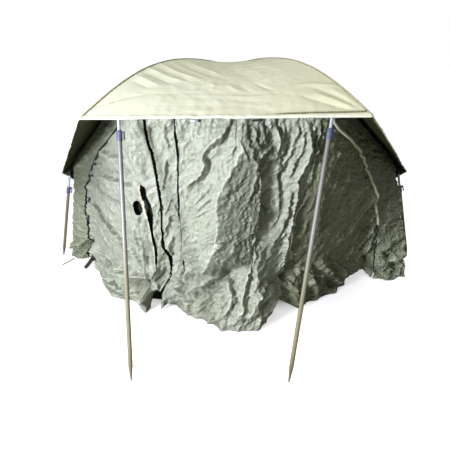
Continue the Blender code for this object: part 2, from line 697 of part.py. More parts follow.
def make_clamp(name, slide, clamp_top):
    """The collar at the top of the lower tube and the lever that tightens it."""
    clamp_low = clamp_top - CLAMP_LENGTH
    lower_top = clamp_low + CLAMP_LAP
    upper_bore = UPPER_RADIUS + CLEARANCE
    collar = turned(name + "_pole_clamp", (
        (CLAMP_RADIUS - CLAMP_WALL / 2, clamp_top), (CLAMP_RADIUS, clamp_top - CLAMP_WALL),
        (CLAMP_RADIUS, clamp_low), (LOWER_RADIUS + CLEARANCE, clamp_low),
        (LOWER_RADIUS + CLEARANCE, lower_top + CLEARANCE), (upper_bore, lower_top + CLEARANCE),
        (upper_bore, clamp_top)), True)
    pin_out = CLAMP_RADIUS + EAR_REACH
    pin_high = clamp_top - EAR_RADIUS - CLAMP_WALL
    spread = LEVER_THICKNESS / 2 + CLEARANCE + EAR_THICKNESS / 2
    ear_root = UPPER_RADIUS + CLAMP_WALL
    additions = []
    for sign in (-1, 1):
        ear = block_shape(
            name + "_ear", (pin_out - ear_root, EAR_THICKNESS, 2 * EAR_RADIUS),
            Vector(((pin_out + ear_root) / 2, sign * spread, pin_high)))
        knuckle = rod_shape(
            name + "_ear_end", EAR_RADIUS, EAR_THICKNESS, Vector((pin_out, sign * spread, pin_high)), Y_AXIS)
        additions += [ear, knuckle]
    pin = rod_shape(
        name + "_lever_pin", LEVER_PIN_RADIUS, 2 * (spread + EAR_THICKNESS),
        Vector((pin_out, 0, pin_high)), Y_AXIS)
    join_shapes(collar, additions + [pin], "UNION")
    in_frame(collar, GREY_PLASTIC, slide)

    pivot = slide.matrix_world @ Vector((pin_out, 0, pin_high))
    outward = slide.matrix_world.to_3x3() @ X_AXIS
    axis = slide.matrix_world.to_3x3() @ -Y_AXIS
    frame = make_frame(name + "_lever_hinge", frame_matrix(pivot, outward, axis), slide)
    # In this frame Z is the pin, X points away from the pole and Y up along it
    thick = EAR_REACH - LEVER_STANDOFF
    lever = rod_shape(
        name + "_pole_lever", EAR_RADIUS, LEVER_THICKNESS, Vector((0, 0, 0)), Z_AXIS, TUBE_STEPS)
    up = frame.matrix_world.to_3x3().inverted() @ (slide.matrix_world.to_3x3() @ Z_AXIS)
    arm = block_shape(
        name + "_lever_arm", (thick, LEVER_LENGTH, LEVER_THICKNESS),
        Vector((EAR_RADIUS - thick / 2, -up.y * LEVER_LENGTH / 2, 0)))
    bore = rod_shape(
        name + "_lever_bore", LEVER_PIN_RADIUS + CLEARANCE, LEVER_THICKNESS * 2, Vector((0, 0, 0)), Z_AXIS)
    join_shapes(lever, [arm], "UNION")
    join_shapes(lever, [bore], "DIFFERENCE")
    in_frame(lever, DARK_PLASTIC, frame)


def make_rear_foot(name, hinge):
    """A flat ground foot with a socket for the rear rib's tip."""
    line = RIB_LINES[name]
    tip = line.point(RIB_CURVE_STEPS)
    along = line.direction(RIB_CURVE_STEPS)
    middle = tip - along * (tip.z / along.z)
    seat = make_frame(name + "_foot_seat", Matrix.Translation((middle.x, middle.y, 0)), hinge)
    foot = turned(name + "_ground_foot", (
        (0, FOOT_THICKNESS), (FOOT_RADIUS - FOOT_THICKNESS / 2, FOOT_THICKNESS),
        (FOOT_RADIUS, FOOT_THICKNESS / 2), (FOOT_RADIUS, 0), (0, 0)), False)
    socket_radius = RIB_RADIUS + CLEARANCE + FOOT_SOCKET_WALL
    end = seat.matrix_world.inverted() @ tip
    low = end + along * (tip.z / 2 / -along.z)
    high = end - along * FOOT_SOCKET_LENGTH
    socket = rod_shape(
        name + "_socket", socket_radius, (high - low).length + tip.z, (high + low + along * tip.z) / 2,
        along, TUBE_STEPS)
    bore_low = end + along * CLEARANCE
    bore_high = high - along * OVERRUN
    bore = rod_shape(
        name + "_socket_bore", RIB_RADIUS + CLEARANCE, (bore_high - bore_low).length,
        (bore_high + bore_low) / 2, along, TUBE_STEPS)
    ground = block_shape(
        name + "_foot_ground", (4 * FOOT_RADIUS, 4 * FOOT_RADIUS, 2 * FOOT_RADIUS),
        Vector((0, 0, -FOOT_RADIUS)))
    join_shapes(foot, [socket], "UNION")
    join_shapes(foot, [bore, ground], "DIFFERENCE")
    in_frame(foot, DARK_PLASTIC, seat)


def make_gore(name):
    """One cloth panel of the canopy between two ribs."""
    first, second, _ = GORES[name]
    middle = (RIB_LINES[first].outward + RIB_LINES[second].outward).normalized()
    axis = HUB_UP.cross(middle)
    hinge = HUB_CENTRE + middle * RING_RADIUS
    frame = make_frame(name + "_hinge", frame_matrix(hinge, middle, axis), SHELTER)
    to_local = frame.matrix_world.inverted()
    cloth = grid_cloth(
        name, CANOPY_COLUMNS, SKIN_ROWS,
        lambda across, along: to_local @ gore_point(name, across, along * SKIN_ROWS, CANOPY_LIFT),
        CANOPY_THICKNESS)
    link_part(cloth, CANOPY_CLOTH, frame)
    return frame


def wall_top(place):
    """Where the front wall and its wings hang under the canopy."""
    lift = -(RIB_RADIUS + CLEARANCE)
    side = abs(place)
    if side <= FRONT_HANG_SHARE:
        across = (1 - place / FRONT_HANG_SHARE) / 2
        return gore_point("front_gore", across, WALL_TOP_STEP + HUB_ROWS, lift)
    share = (side - FRONT_HANG_SHARE) / (WING_END_SHARE - FRONT_HANG_SHARE)
    row = WALL_TOP_STEP + (WING_TOP_STEP - WALL_TOP_STEP) * share + HUB_ROWS
    if place < 0:
        return gore_point("left_front_gore", WING_TOP_SHARE * share, row, lift)
    return gore_point("right_front_gore", 1 - WING_TOP_SHARE * share, row, lift)


def hem_sway(place):
    """How far the hem lies behind its even curve, between the points of HEM_SWAYS."""
    before, after = HEM_SWAYS[0], HEM_SWAYS[1]
    for point in HEM_SWAYS[1:]:
        after = point
        if place <= after[0]:
            break
        before = point
    share = (place - before[0]) / (after[0] - before[0]) if after[0] > before[0] else 0
    return before[1] + (after[1] - before[1]) * min(max(share, 0), 1)


def wall_foot(place):
    """The hem of the front wall and its wings on the ground."""
    side = abs(place)
    setback = (WALL_SIDE_SETBACK - WALL_FRONT_SETBACK) * min(side, 1) ** WALL_HEM_POWER_SHARE
    setback += WING_SETBACK * max(side - 1, 0) / (WING_END_SHARE - 1) + hem_sway(place)
    return Vector((WALL_HALF_WIDTH * place, WALL_FRONT_SETBACK + setback, WALL_HEM_HEIGHT))


def arch_place(down):
    """The place, on either side, of the arched join of wall and wing, some way down."""
    rest = max(1 - down / ARCH_DROP_SHARE, 0)
    return 1 - (1 - FRONT_HANG_SHARE) * rest ** 2


def edge_place(edge, down):
    """The place of a panel's edge, some way down."""
    return edge[0] + (edge[1] - edge[0]) * down


def run_beside(place, point_at):
    """The direction of a line of points at one place, taken a little to each side."""
    step = SEAM_FLAT / WALL_HALF_WIDTH
    return (point_at(place + step) - point_at(place - step)).normalized()


class WallSeam:
    """A straight line down the front wall: the way across it and the way it faces."""

    def __init__(self, top_place, foot_place):
        self.top = wall_top(top_place)
        self.foot = wall_foot(foot_place)
        self.drop = (self.foot - self.top).normalized()
        run = run_beside(top_place, wall_top) + run_beside(foot_place, wall_foot)
        self.side = (run - self.drop * run.dot(self.drop)).normalized()
        self.facing = self.drop.cross(self.side)
        self.level_facing = Vector((self.facing.x, self.facing.y, 0)).normalized()

    def point(self, down):
        return self.top.lerp(self.foot, down)


def fold_depth(across, down, width, phase):
    """Folds of a panel of some width: none beside its seams and at its top edge."""
    wave = sum(
        weight * sin(2 * pi * (count * across + slant * down) + phase * count)
        for count, slant, weight in WALL_FOLDS)
    inset = min(across, 1 - across) * width - SEAM_FLAT
    rise = min(max(inset / FOLD_RISE, 0), 1)
    edge = rise * rise * (3 - 2 * rise)
    sag = WALL_SAG * exp(-((down - SAG_DOWN_SHARE) / SAG_REACH_SHARE) ** 2)
    return edge * (down ** FOLD_POWER_SHARE * WALL_FOLD_DEPTH * wave - sag)


def make_wall_panel(name):
    """A panel of the front wall between two of its seams, with a flat strip beside each."""
    start, end, columns = WALL_PANELS[name]
    seams = {0: WallSeam(*start), columns: WallSeam(*end)}
    parent = bpy.data.objects["front_gore_hinge"]
    frame = make_frame(name + "_hanger", frame_matrix(
        wall_top(0), Z_AXIS, parent.matrix_world.to_3x3() @ Z_AXIS), parent)
    to_local = frame.matrix_world.inverted()

    def place_corner(across, up):
        column = round(across * columns)
        down = max(1 - up, 0)
        low = -arch_place(down) if start is LEFT_ARCH else edge_place(start, down)
        high = arch_place(down) if end is RIGHT_ARCH else edge_place(end, down)
        width = (high - low) * WALL_HALF_WIDTH
        border = 0 if column <= 1 else columns
        straight = (start, end)[border > 0] not in (LEFT_ARCH, RIGHT_ARCH)
        inset = SEAM_GAP / 2 if column in (0, columns) else SEAM_FLAT
        if column in (0, 1, columns - 1, columns) and straight:
            seam = seams[border]
            return to_local @ (seam.point(down) + seam.side * (-inset if border else inset))
        share = (SEAM_FLAT + (width - 2 * SEAM_FLAT) * (column - 1) / (columns - 2)) / width
        if column in (0, columns):
            share = abs(border / columns - inset / width)
        place = low + (high - low) * share
        line = WallSeam(place, place)
        depth = fold_depth(share, down, width, start[0])
        return to_local @ (line.point(down) + line.level_facing * depth)

    cloth = grid_cloth(name, columns, WALL_ROWS, place_corner, WALL_THICKNESS)
    link_part(cloth, WALL_CLOTH, frame)
    return frame


def make_wing(name, sign):
    """The side wing between the arched join and the side pole."""
    gore = "left_front_gore" if sign < 0 else "right_front_gore"
    parent = bpy.data.objects[gore + "_hinge"]
    frame = make_frame(name + "_hanger", frame_matrix(
        wall_top(sign), Z_AXIS, parent.matrix_world.to_3x3() @ Z_AXIS), parent)
    to_local = frame.matrix_world.inverted()

    def place_corner(across, up):
        down = max(1 - up, 0)
        inner = arch_place(down) + ARCH_GAP / WALL_HALF_WIDTH
        out_share = across if sign > 0 else 1 - across
        place = sign * (inner + (WING_END_SHARE - inner) * out_share)
        line = WallSeam(place, place)
        depth = fold_depth(out_share, down, (WING_END_SHARE - inner) * WALL_HALF_WIDTH, sign)
        return to_local @ (line.point(down) + line.level_facing * depth / 2)

    cloth = grid_cloth(name, WING_COLUMNS, WALL_ROWS, place_corner, WALL_THICKNESS)
    link_part(cloth, WING_CLOTH, frame)


def make_zip(name, edge, slider_share, parent):
    """A zip on the wall: its tape and teeth as one strip, and the slider with its pull."""
    seam = WallSeam(*edge)
    start = seam.point(TAPE_TOP_SHARE)
    end = seam.point(TAPE_FOOT_SHARE)
    out = seam.facing * (WALL_THICKNESS + TAPE_STANDOFF + TAPE_THICKNESS / 2)
    matrix = frame_matrix((start + end) / 2 + out, -seam.side, -seam.drop)
    seat = make_frame(name + "_seat", matrix, parent)
    tape = block_shape(
        name + "_tape", (TAPE_WIDTH, TAPE_THICKNESS, (end - start).length), Vector((0, 0, 0)))
    link_part(tape, ZIP_PLASTIC, seat)

    forward = 1 if (seat.matrix_world.to_3x3() @ Y_AXIS).dot(seam.facing) > 0 else -1
    slide = make_frame(
        name + "_slider_slide",
        frame_matrix(seam.point(slider_share) + out, -seam.side, -seam.drop), seat)
    body_out = forward * (TAPE_THICKNESS / 2 + CLEARANCE + SLIDER_THICKNESS / 2)
    slider = block_shape(
        name + "_slider", (SLIDER_WIDTH, SLIDER_THICKNESS, SLIDER_LENGTH), Vector((0, body_out, 0)))
    pull = block_shape(
        name + "_pull", (PULL_WIDTH, PULL_THICKNESS, PULL_LENGTH),
        Vector((0, body_out, -PULL_LENGTH / 2)))
    join_shapes(slider, [pull], "UNION")
    link_part(slider, RED_PULL, slide)


def stand_on_origin():
    """Moves the shelter so that the origin is the middle of its base."""
    bpy.context.view_layer.update()
    depsgraph = bpy.context.evaluated_depsgraph_get()
    corners = []
    for item in PARTS.objects:
        mesh = item.evaluated_get(depsgraph).to_mesh()
        corners += [item.matrix_world @ vertex.co for vertex in mesh.vertices]
    low = Vector([min(corner[axis] for corner in corners) for axis in range(3)])
    high = Vector([max(corner[axis] for corner in corners) for axis in range(3)])
    SHELTER.location = (-(low.x + high.x) / 2, -(low.y + high.y) / 2, -low.z)
    bpy.context.view_layer.update()


make_hub()
RIB_HINGES = {name: make_rib(name) for name in RIB_TIPS}
for rib_name in POLE_FEET:
    pin_place, pin_axis = make_pole_block(rib_name, RIB_HINGES[rib_name])
    make_pole(rib_name, RIB_HINGES[rib_name], pin_place, pin_axis)
for rib_name in ("rear_left", "rear_right"):
    make_rear_foot(rib_name, RIB_HINGES[rib_name])
for gore_name in GORES:
    make_gore(gore_name)
HANGERS = {name: make_wall_panel(name) for name in WALL_PANELS}
make_wing("left_wing", -1)
make_wing("right_wing", 1)
make_zip("curved_zip", CURVED_ZIP, CURVED_SLIDER_SHARE, HANGERS["door_leaf_panel"])
make_zip("straight_zip", STRAIGHT_ZIP, STRAIGHT_SLIDER_SHARE, HANGERS["centre_wall_panel"])
stand_on_origin()
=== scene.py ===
"""The looks of a fishing umbrella used as a shelter: crumpled nylon front wall, pale proofed
canopy, storm poles and their fittings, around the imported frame.

Lengths are metres. The cloth is laid out as the frame was, with the front edge at Y = 0, and
moved by LAYOUT_SHIFT to the frame's own place.
"""

from collections import namedtuple
from math import cos, pi, radians, sin

import bmesh
import bpy
import numpy as np
from mathutils import Matrix, Vector


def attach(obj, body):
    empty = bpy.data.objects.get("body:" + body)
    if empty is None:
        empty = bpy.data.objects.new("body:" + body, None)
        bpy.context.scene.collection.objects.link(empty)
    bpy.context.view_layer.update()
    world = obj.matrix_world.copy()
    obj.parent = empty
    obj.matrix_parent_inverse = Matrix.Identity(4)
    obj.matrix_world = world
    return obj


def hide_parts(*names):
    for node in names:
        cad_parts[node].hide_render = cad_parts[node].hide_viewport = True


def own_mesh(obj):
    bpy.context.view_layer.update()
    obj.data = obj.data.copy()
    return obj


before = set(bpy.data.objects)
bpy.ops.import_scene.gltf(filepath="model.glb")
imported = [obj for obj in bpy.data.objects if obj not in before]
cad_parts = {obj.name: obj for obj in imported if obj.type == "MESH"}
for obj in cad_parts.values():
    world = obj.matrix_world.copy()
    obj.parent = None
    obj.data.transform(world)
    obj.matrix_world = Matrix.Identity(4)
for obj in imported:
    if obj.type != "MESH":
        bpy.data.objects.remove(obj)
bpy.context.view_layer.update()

# Layout of the ribs, as the frame has it
FRONT_HEIGHT = 1.35
FRONT_HALF_WIDTH = 0.67
SIDE_HEIGHT = 0.745
SIDE_HALF_WIDTH = 1.31
SIDE_SETBACK = 1.40
REAR_TIP_HEIGHT = 0.024
REAR_HALF_WIDTH = 0.70
REAR_SETBACK = 2.20
HUB_HEIGHT = 1.50
HUB_SETBACK = 1.35
HUB_TILT = radians(28)
RIB_BOWS = {"front": 0.130, "side": 0.150, "rear": 0.200}
RIB_BEND_RADIUS = 0.0777
RIB_RADIUS = 0.0055
CANOPY_BORE = 0.020
CANOPY_LIFT = 0.012
LAYOUT_SHIFT = np.array((0.0, -1.0461918, 0.0))

HUB_CENTRE = np.array((0.0, HUB_SETBACK, HUB_HEIGHT))
HUB_UP = np.array((0.0, sin(HUB_TILT), cos(HUB_TILT)))
RIB_TIPS = {
    "front_left": (-FRONT_HALF_WIDTH, 0, FRONT_HEIGHT),
    "side_left": (-SIDE_HALF_WIDTH, SIDE_SETBACK, SIDE_HEIGHT),
    "rear_left": (-REAR_HALF_WIDTH, REAR_SETBACK, REAR_TIP_HEIGHT),
    "rear_right": (REAR_HALF_WIDTH, REAR_SETBACK, REAR_TIP_HEIGHT),
    "side_right": (SIDE_HALF_WIDTH, SIDE_SETBACK, SIDE_HEIGHT),
    "front_right": (FRONT_HALF_WIDTH, 0, FRONT_HEIGHT),
}

# The gores: the ribs on either side, how far the cloth sags between them, the box that it is cut
# from and its own area
Gore = namedtuple("Gore", "first second sag flat area")
GORES = {
    "front_gore": Gore("front_right", "front_left", 0.046, (1.36, 1.62), 1.04),
    "left_front_gore": Gore("front_left", "side_left", 0.022, (1.66, 1.62), 1.21),
    "left_rear_gore": Gore("side_left", "rear_left", 0.030, (1.28, 1.66), 1.06),
    "rear_gore": Gore("rear_left", "rear_right", 0.030, (1.42, 1.74), 1.38),
    "right_rear_gore": Gore("rear_right", "side_right", 0.030, (1.28, 1.66), 1.06),
    "right_front_gore": Gore("side_right", "front_right", 0.022, (1.66, 1.62), 1.21),
}
SAG_POWER = 1.3

# The front wall: places run from -1 to 1 across it, and on to WING_END over the wings
WALL_HALF_WIDTH = 1.04
WALL_DROP = 1.35
WALL_TOP_SHARE = 8.9 / 12
WING_TOP_SHARE = 11 / 12
FRONT_HANG_SHARE = 0.55
WING_END = 1.25
WING_ACROSS = 0.95
FRONT_FOOT = 0.36
SIDE_FOOT = 1.17
FOOT_CURVE = 1.6
WING_SETBACK = 0.03
FOOT_CLEARANCE = 0.003
LOWEST_CLOTH = 0.0016

# From where on the way down the wall is drawn out to its hem, and up to where it would be
HEM_DRAW = (0.35, 1.15)

# How far the wall slumps inwards just above the ground, where, and over which reach
SLUMP_DEPTH = 0.075
SLUMP_DOWN = 0.80
SLUMP_REACH = 0.13
SLUMP_LESS_AT_SIDES = 0.6

# The step over which the wall's facing is taken, wider than its folds
FACING_STEP = 0.06

# The hem's way in and out on the ground: (place, how far it lies behind its even curve)
HEM_SWAYS = (
    (-1.25, 0.130), (-1.01, 0.059), (-0.87, -0.073), (-0.787, -0.100), (-0.62, -0.025),
    (-0.51, -0.016), (-0.40, 0.080), (-0.22, 0.077), (-0.12, 0.037), (0.0, -0.015),
    (0.111, -0.044), (0.185, -0.078), (0.24, 0.020), (0.29, 0.080), (0.54, 0.071),
    (0.79, 0.076), (0.94, 0.070), (1.01, -0.050), (1.25, -0.080),
)

# The hem of the wall on the ground, from the left wing round to the right one
HEM_POINTS = (
    (-1.300, 1.330, 0.075), (-1.185, 1.266, 0.083), (-1.110, 1.257, 0.087), (-1.052, 1.230, 0.080),
    (-1.007, 1.140, 0.004), (-0.908, 0.939, 0.004), (-0.819, 0.800, 0.004), (-0.731, 0.744, 0.006),
    (-0.649, 0.716, 0.004), (-0.560, 0.560, 0.004), (-0.531, 0.621, 0.012), (-0.467, 0.622, 0.004),
    (-0.415, 0.626, 0.048), (-0.332, 0.571, 0.027), (-0.227, 0.508, 0.004), (-0.124, 0.424, 0.004),
    (-0.046, 0.355, 0.004), (0.035, 0.345, 0.004), (0.115, 0.340, 0.006), (0.192, 0.336, 0.004),
    (0.243, 0.446, 0.006), (0.299, 0.550, 0.050), (0.318, 0.562, 0.110), (0.381, 0.602, 0.059),
    (0.446, 0.646, 0.004), (0.557, 0.730, 0.004), (0.666, 0.817, 0.004), (0.821, 0.990, 0.004),
    (0.850, 1.007, 0.043), (0.950, 1.140, 0.062), (0.998, 1.180, 0.043), (1.045, 1.120, 0.004),
    (1.147, 1.090, 0.004), (1.300, 1.125, 0.004),
)

# Camera, solved on the photograph
CAMERA_PLACE = np.array((0.0844, -2.3193, 1.6811))
CAMERA_PITCH = radians(20.07)
CAMERA_YAW = radians(-2.20)
CAMERA_ROLL = radians(-0.757)
CAMERA_LENS_MM = 39.9
CAMERA_SENSOR_MM = 36

# Cloth
CLOTH_THICKNESS = 0.0008
CANOPY_THICKNESS = 0.0012
WALL_MESH = 0.0062
CANOPY_MESH = 0.012
PLAIN_GORE_MESH = 0.0168
BACKING_MESH = 0.016
SLEEVE_WIDTH = 0.10
SLEEVE_LENGTH = 1.42
SLEEVE_GAP = 0.003
SLEEVE_WIDEST_SHARE = 0.42
SLEEVE_START = 0.02
SLEEVE_REACH = 0.965

# How the hanging cloth gathers as the umbrella folds: direction, how far along it the cloth
# gathers to, and the share of its spread that is left
WALL_GATHER = ((1.0, 0.0, 0.0), 0.0, 0.40)
GATHERED = {
    "front_wall": WALL_GATHER,
    "curved_slider": WALL_GATHER,
    "straight_slider": WALL_GATHER,
    "left_wing_cloth": ((-0.45, 0.82, -0.35), -0.109, 0.41),
    "right_wing_cloth": ((0.45, 0.82, -0.35), -0.109, 0.41),
}


def in_frame(points):
    """Moves laid-out points to the frame's own place."""
    return np.asarray(points, float) + LAYOUT_SHIFT


# Noise and folds, on whole arrays of points

def lattice_noise(x, y, seed):
    """Smooth noise from -1 to 1 on a unit lattice."""
    low_x = np.floor(x).astype(np.int64)
    low_y = np.floor(y).astype(np.int64)
    part_x = x - low_x
    part_y = y - low_y

    def corner(step_x, step_y):
        key = (low_x + step_x) * 374761393 + (low_y + step_y) * 668265263 + seed * 1274126177
        key = (key ^ (key >> 13)) * 1274126177
        angle = ((key ^ (key >> 16)) & 1023) * (2 * pi / 1024)
        return np.cos(angle) * (part_x - step_x) + np.sin(angle) * (part_y - step_y)

    ease_x = part_x ** 3 * (part_x * (part_x * 6 - 15) + 10)
    ease_y = part_y ** 3 * (part_y * (part_y * 6 - 15) + 10)
    low = corner(0, 0) * (1 - ease_x) + corner(1, 0) * ease_x
    high = corner(0, 1) * (1 - ease_x) + corner(1, 1) * ease_x
    return (low * (1 - ease_y) + high * ease_y) * 1.5


def creased(x, y, size, seed, lean=0.0, spread=2.4, count=5):
    """Flat facets between straight creases, as in crushed nylon: triangle waves of about one
    size that run in several directions about a lean, each of them only here and there. Gives
    the height of the facets, and the creases' lines: 1 in a valley, -1 on a crest."""
    total = np.zeros(np.shape(x))
    lines = np.zeros(np.shape(x))
    for turn in range(count):
        share = (turn + 0.5) / count - 0.5
        angle = lean + spread * share
        pitch = size * (1 + 0.45 * sin(seed + 2.3 * turn))
        key = seed + 17 * turn
        bend = 0.22 * lattice_noise(x / size / 1.6, y / size / 1.6, key + 5)
        run = (x * np.cos(angle) + y * np.sin(angle)) / pitch + bend + 0.37 * turn
        wave = 4 * np.abs(run - np.floor(run + 0.5)) - 1
        here = ease(lattice_noise(x / size / 1.9, y / size / 1.9, key), -0.05, 0.42)
        total += wave * here
        lines += here * (ease(-wave, 0.62, 1) - ease(wave, 0.70, 1))
    return total, lines


def ease(value, low, high):
    """Rises smoothly from 0 at low to 1 at high."""
    share = np.clip((value - low) / (high - low), 0, 1)
    return share * share * (3 - 2 * share)


def beside_line(x, y, line):
    """How far points lie from a line, on which side, and how far along it from 0 to 1."""
    line = np.asarray(line, float)
    runs = line[1:] - line[:-1]
    lengths = np.hypot(runs[:, 0], runs[:, 1])
    starts = np.concatenate(((0,), np.cumsum(lengths)[:-1]))
    away = np.full(np.shape(x), 9.0)
    side = np.zeros(np.shape(x))
    along = np.zeros(np.shape(x))
    for (from_x, from_y), (run_x, run_y), length, start in zip(line[:-1], runs, lengths, starts):
        share = np.clip(((x - from_x) * run_x + (y - from_y) * run_y) / length ** 2, 0, 1)
        near = np.hypot(x - from_x - share * run_x, y - from_y - share * run_y)
        closer = near < away
        away = np.where(closer, near, away)
        turn = (x - from_x) * run_y - (y - from_y) * run_x
        side = np.where(closer, np.sign(turn), side)
        along = np.where(closer, (start + share * length) / lengths.sum(), along)
    return away, side, along


# The surfaces that the cloth hangs on

class Rib:
    """The curve of one rib, in the plane of the hub's axis and the rib's tip."""

    def __init__(self, name):
        reach = np.array(RIB_TIPS[name]) - HUB_CENTRE
        height = reach @ HUB_UP
        outward = reach - HUB_UP * height
        length = np.linalg.norm(outward)
        self.outward = outward / length
        self.axis = np.cross(HUB_UP, self.outward)
        self.start = np.array((RIB_BEND_RADIUS, 0.0))
        self.chord = np.array((length, height)) - self.start
        square = np.array((-self.chord[1], self.chord[0])) / np.linalg.norm(self.chord)
        self.rise = square * RIB_BOWS[name.split("_")[0]]

    def skin(self, share, lift):
        """Points over the rib: shares below 0 run in over the hub, 1 is the tip."""
        out = np.clip(share, 0, 1)[..., None]
        station = self.start + self.chord * out + self.rise * np.sin(pi * out)
        run = self.chord + self.rise * pi * np.cos(pi * out)
        run = run / np.linalg.norm(run, axis=-1, keepdims=True)
        station = station + np.stack((-run[..., 1], run[..., 0]), -1) * lift
        beyond = np.clip(share - 1, 0, None)[..., None]
        station = station + run * beyond * np.linalg.norm(self.chord)
        level = np.stack((RIB_BEND_RADIUS + (RIB_BEND_RADIUS - CANOPY_BORE) * share,
                          np.full(np.shape(share), lift)), -1)
        station = np.where((share < 0)[..., None], level, station)
        return HUB_CENTRE + self.outward * station[..., :1] + HUB_UP * station[..., 1:]


RIBS = {name: Rib(name) for name in RIB_TIPS}


def gore_outward(gore):
    """The direction from the hub out along the middle of a gore."""
    middle = RIBS[GORES[gore].first].outward + RIBS[GORES[gore].second].outward
    return middle / np.linalg.norm(middle)


def gore_points(gore, across, share, lift):
    """Points of a gore: across from its first rib to its second, and out from hub to hem."""
    start = RIBS[GORES[gore].first].skin(share, lift)
    end = RIBS[GORES[gore].second].skin(share, lift)
    out = np.clip(share, 0, 1)
    down = -(HUB_UP + gore_outward(gore) * (out * sin(HUB_TILT))[..., None])
    down = down / np.linalg.norm(down, axis=-1, keepdims=True)
    droop = GORES[gore].sag * np.sin(pi * across) * np.sin(pi * out ** SAG_POWER)
    return start + (end - start) * across[..., None] + down * droop[..., None]


def wall_top(place):
    """Where the front wall and its wings hang under the canopy."""
    lift = -(RIB_RADIUS + CLOTH_THICKNESS)
    side = np.abs(place)
    level = np.full(np.shape(place), WALL_TOP_SHARE)
    across = np.clip((1 - place / FRONT_HANG_SHARE) / 2, 0, 1)
    middle = gore_points("front_gore", across, level, lift)
    out = np.clip((side - FRONT_HANG_SHARE) / (WING_END - FRONT_HANG_SHARE), 0, None)
    row = WALL_TOP_SHARE + (WING_TOP_SHARE - WALL_TOP_SHARE) * out
    left = gore_points("left_front_gore", WING_ACROSS * out, row, lift)
    right = gore_points("right_front_gore", 1 - WING_ACROSS * out, row, lift)
    outer = np.where((place < 0)[..., None], left, right)
    return np.where((side <= FRONT_HANG_SHARE)[..., None], middle, outer)


def wall_hem(place):
    """The hem on the ground, through the points that the photograph shows."""
    points = np.array(HEM_POINTS)
    x = place * WALL_HALF_WIDTH
    return np.stack([x] + [np.interp(x, points[:, 0], points[:, axis]) for axis in (1, 2)], -1)


def wall_foot(place):
    """The even curve on the ground that the wall hangs towards."""
    side = np.abs(place)
    back = (SIDE_FOOT - FRONT_FOOT) * np.minimum(side, 1) ** FOOT_CURVE
    back = back + WING_SETBACK * np.maximum(side - 1, 0) / (WING_END - 1)
    sways = np.array(HEM_SWAYS)
    back = back + np.interp(place, sways[:, 0], sways[:, 1])
    height = np.full(np.shape(place), FOOT_CLEARANCE)
    return np.stack((WALL_HALF_WIDTH * place, FRONT_FOOT + back, height), -1)


def hanging(place, down):
    """Points of the wall before its folds: straight down, then out along the ground to the hem."""
    top = wall_top(place)
    foot = wall_foot(place)
    points = top + (foot - top) * down[..., None]
    drawn = ease(down, *HEM_DRAW) / ease(1.0, *HEM_DRAW)
    points += (wall_hem(place) - foot) * drawn[..., None]
    slump = SLUMP_DEPTH * np.exp(-((down - SLUMP_DOWN) / SLUMP_REACH) ** 2)
    points[..., 1] += slump * (1 - SLUMP_LESS_AT_SIDES * np.abs(place))
    return points


def level_facing(place, down):
    """The level direction in which the hanging wall faces."""
    run = hanging(place + FACING_STEP, down) - hanging(place - FACING_STEP, down)
    facing = np.stack((run[..., 1], -run[..., 0], np.zeros(np.shape(place))), -1)
    return facing / np.linalg.norm(facing, axis=-1, keepdims=True)


# Joins of the front wall: (share of the way down, place, half the width that it stands open)
LEFT_ARCH = ((0, -0.55, 0), (0.06, -0.6, 0.001), (0.114, -0.648, 0.004), (0.12, -0.727, 0.006),
    (0.13, -0.835, 0.006), (0.162, -0.948, 0.006), (0.212, -1.008, 0.006), (0.257, -1.053, 0.013),
    (0.325, -1.083, 0.004), (0.423, -1.094, 0.007), (0.499, -1.098, 0.003), (0.603, -1.086, 0.012),
    (0.675, -1.079, 0.004), (0.766, -1.09, 0.004), (0.842, -1.075, 0.008), (0.922, -1.083, 0.008),
    (0.992, -1.09, 0.012))
THIRD_LINE = ((0, -0.555, 0), (0.142, -0.543, 0), (0.23, -0.532, 0.0004), (0.313, -0.528, 0.0006),
    (0.373, -0.517, 0.001), (0.389, -0.498, 0.016), (0.415, -0.494, 0.017), (0.445, -0.487, 0.022),
    (0.471, -0.475, 0.025), (0.499, -0.472, 0.024), (0.529, -0.468, 0.018), (0.591, -0.464, 0.01),
    (0.643, -0.457, 0.012), (0.693, -0.457, 0.01), (0.747, -0.464, 0.009), (0.79, -0.475, 0.003),
    (0.816, -0.487, 0.001), (0.88, -0.505, 0.0005), (0.94, -0.545, 0.0003), (1, -0.58, 0.0003))
CURVED_LINE = ((0, -0.462, 0.003), (0.122, -0.453, 0.005), (0.186, -0.445, 0.007),
    (0.261, -0.419, 0.007), (0.337, -0.408, 0.0035), (0.397, -0.397, 0.006), (0.455, -0.393, 0.0025),
    (0.529, -0.393, 0.0018), (0.603, -0.393, 0.004), (0.647, -0.393, 0.012), (0.699, -0.385, 0.015),
    (0.745, -0.37, 0.012), (0.788, -0.363, 0.004), (0.832, -0.37, 0.0025), (0.884, -0.4, 0.004),
    (0.906, -0.434, 0.014), (0.94, -0.464, 0.028), (0.978, -0.479, 0.036), (1, -0.482, 0.036))
STRAIGHT_LINE = ((0, -0.288, 0.003), (0.112, -0.284, 0.005), (0.178, -0.277, 0.009),
    (0.253, -0.269, 0.007), (0.345, -0.273, 0.006), (0.433, -0.273, 0.0075), (0.511, -0.269, 0.003),
    (0.593, -0.265, 0.0025), (0.697, -0.273, 0.002), (0.758, -0.288, 0.009), (0.802, -0.277, 0.002),
    (0.866, -0.273, 0.0008), (1, -0.262, 0.0003))
WINDOW_LINE = ((0, 0.5, 0), (0.138, 0.495, 0), (0.242, 0.492, 0), (0.343, 0.473, 0),
    (0.425, 0.477, 0.001), (0.475, 0.447, 0.001), (0.519, 0.413, 0.001), (0.583, 0.398, 0.001),
    (0.663, 0.39, 0.001), (0.772, 0.387, 0.001), (0.854, 0.353, 0), (1, 0.31, 0))
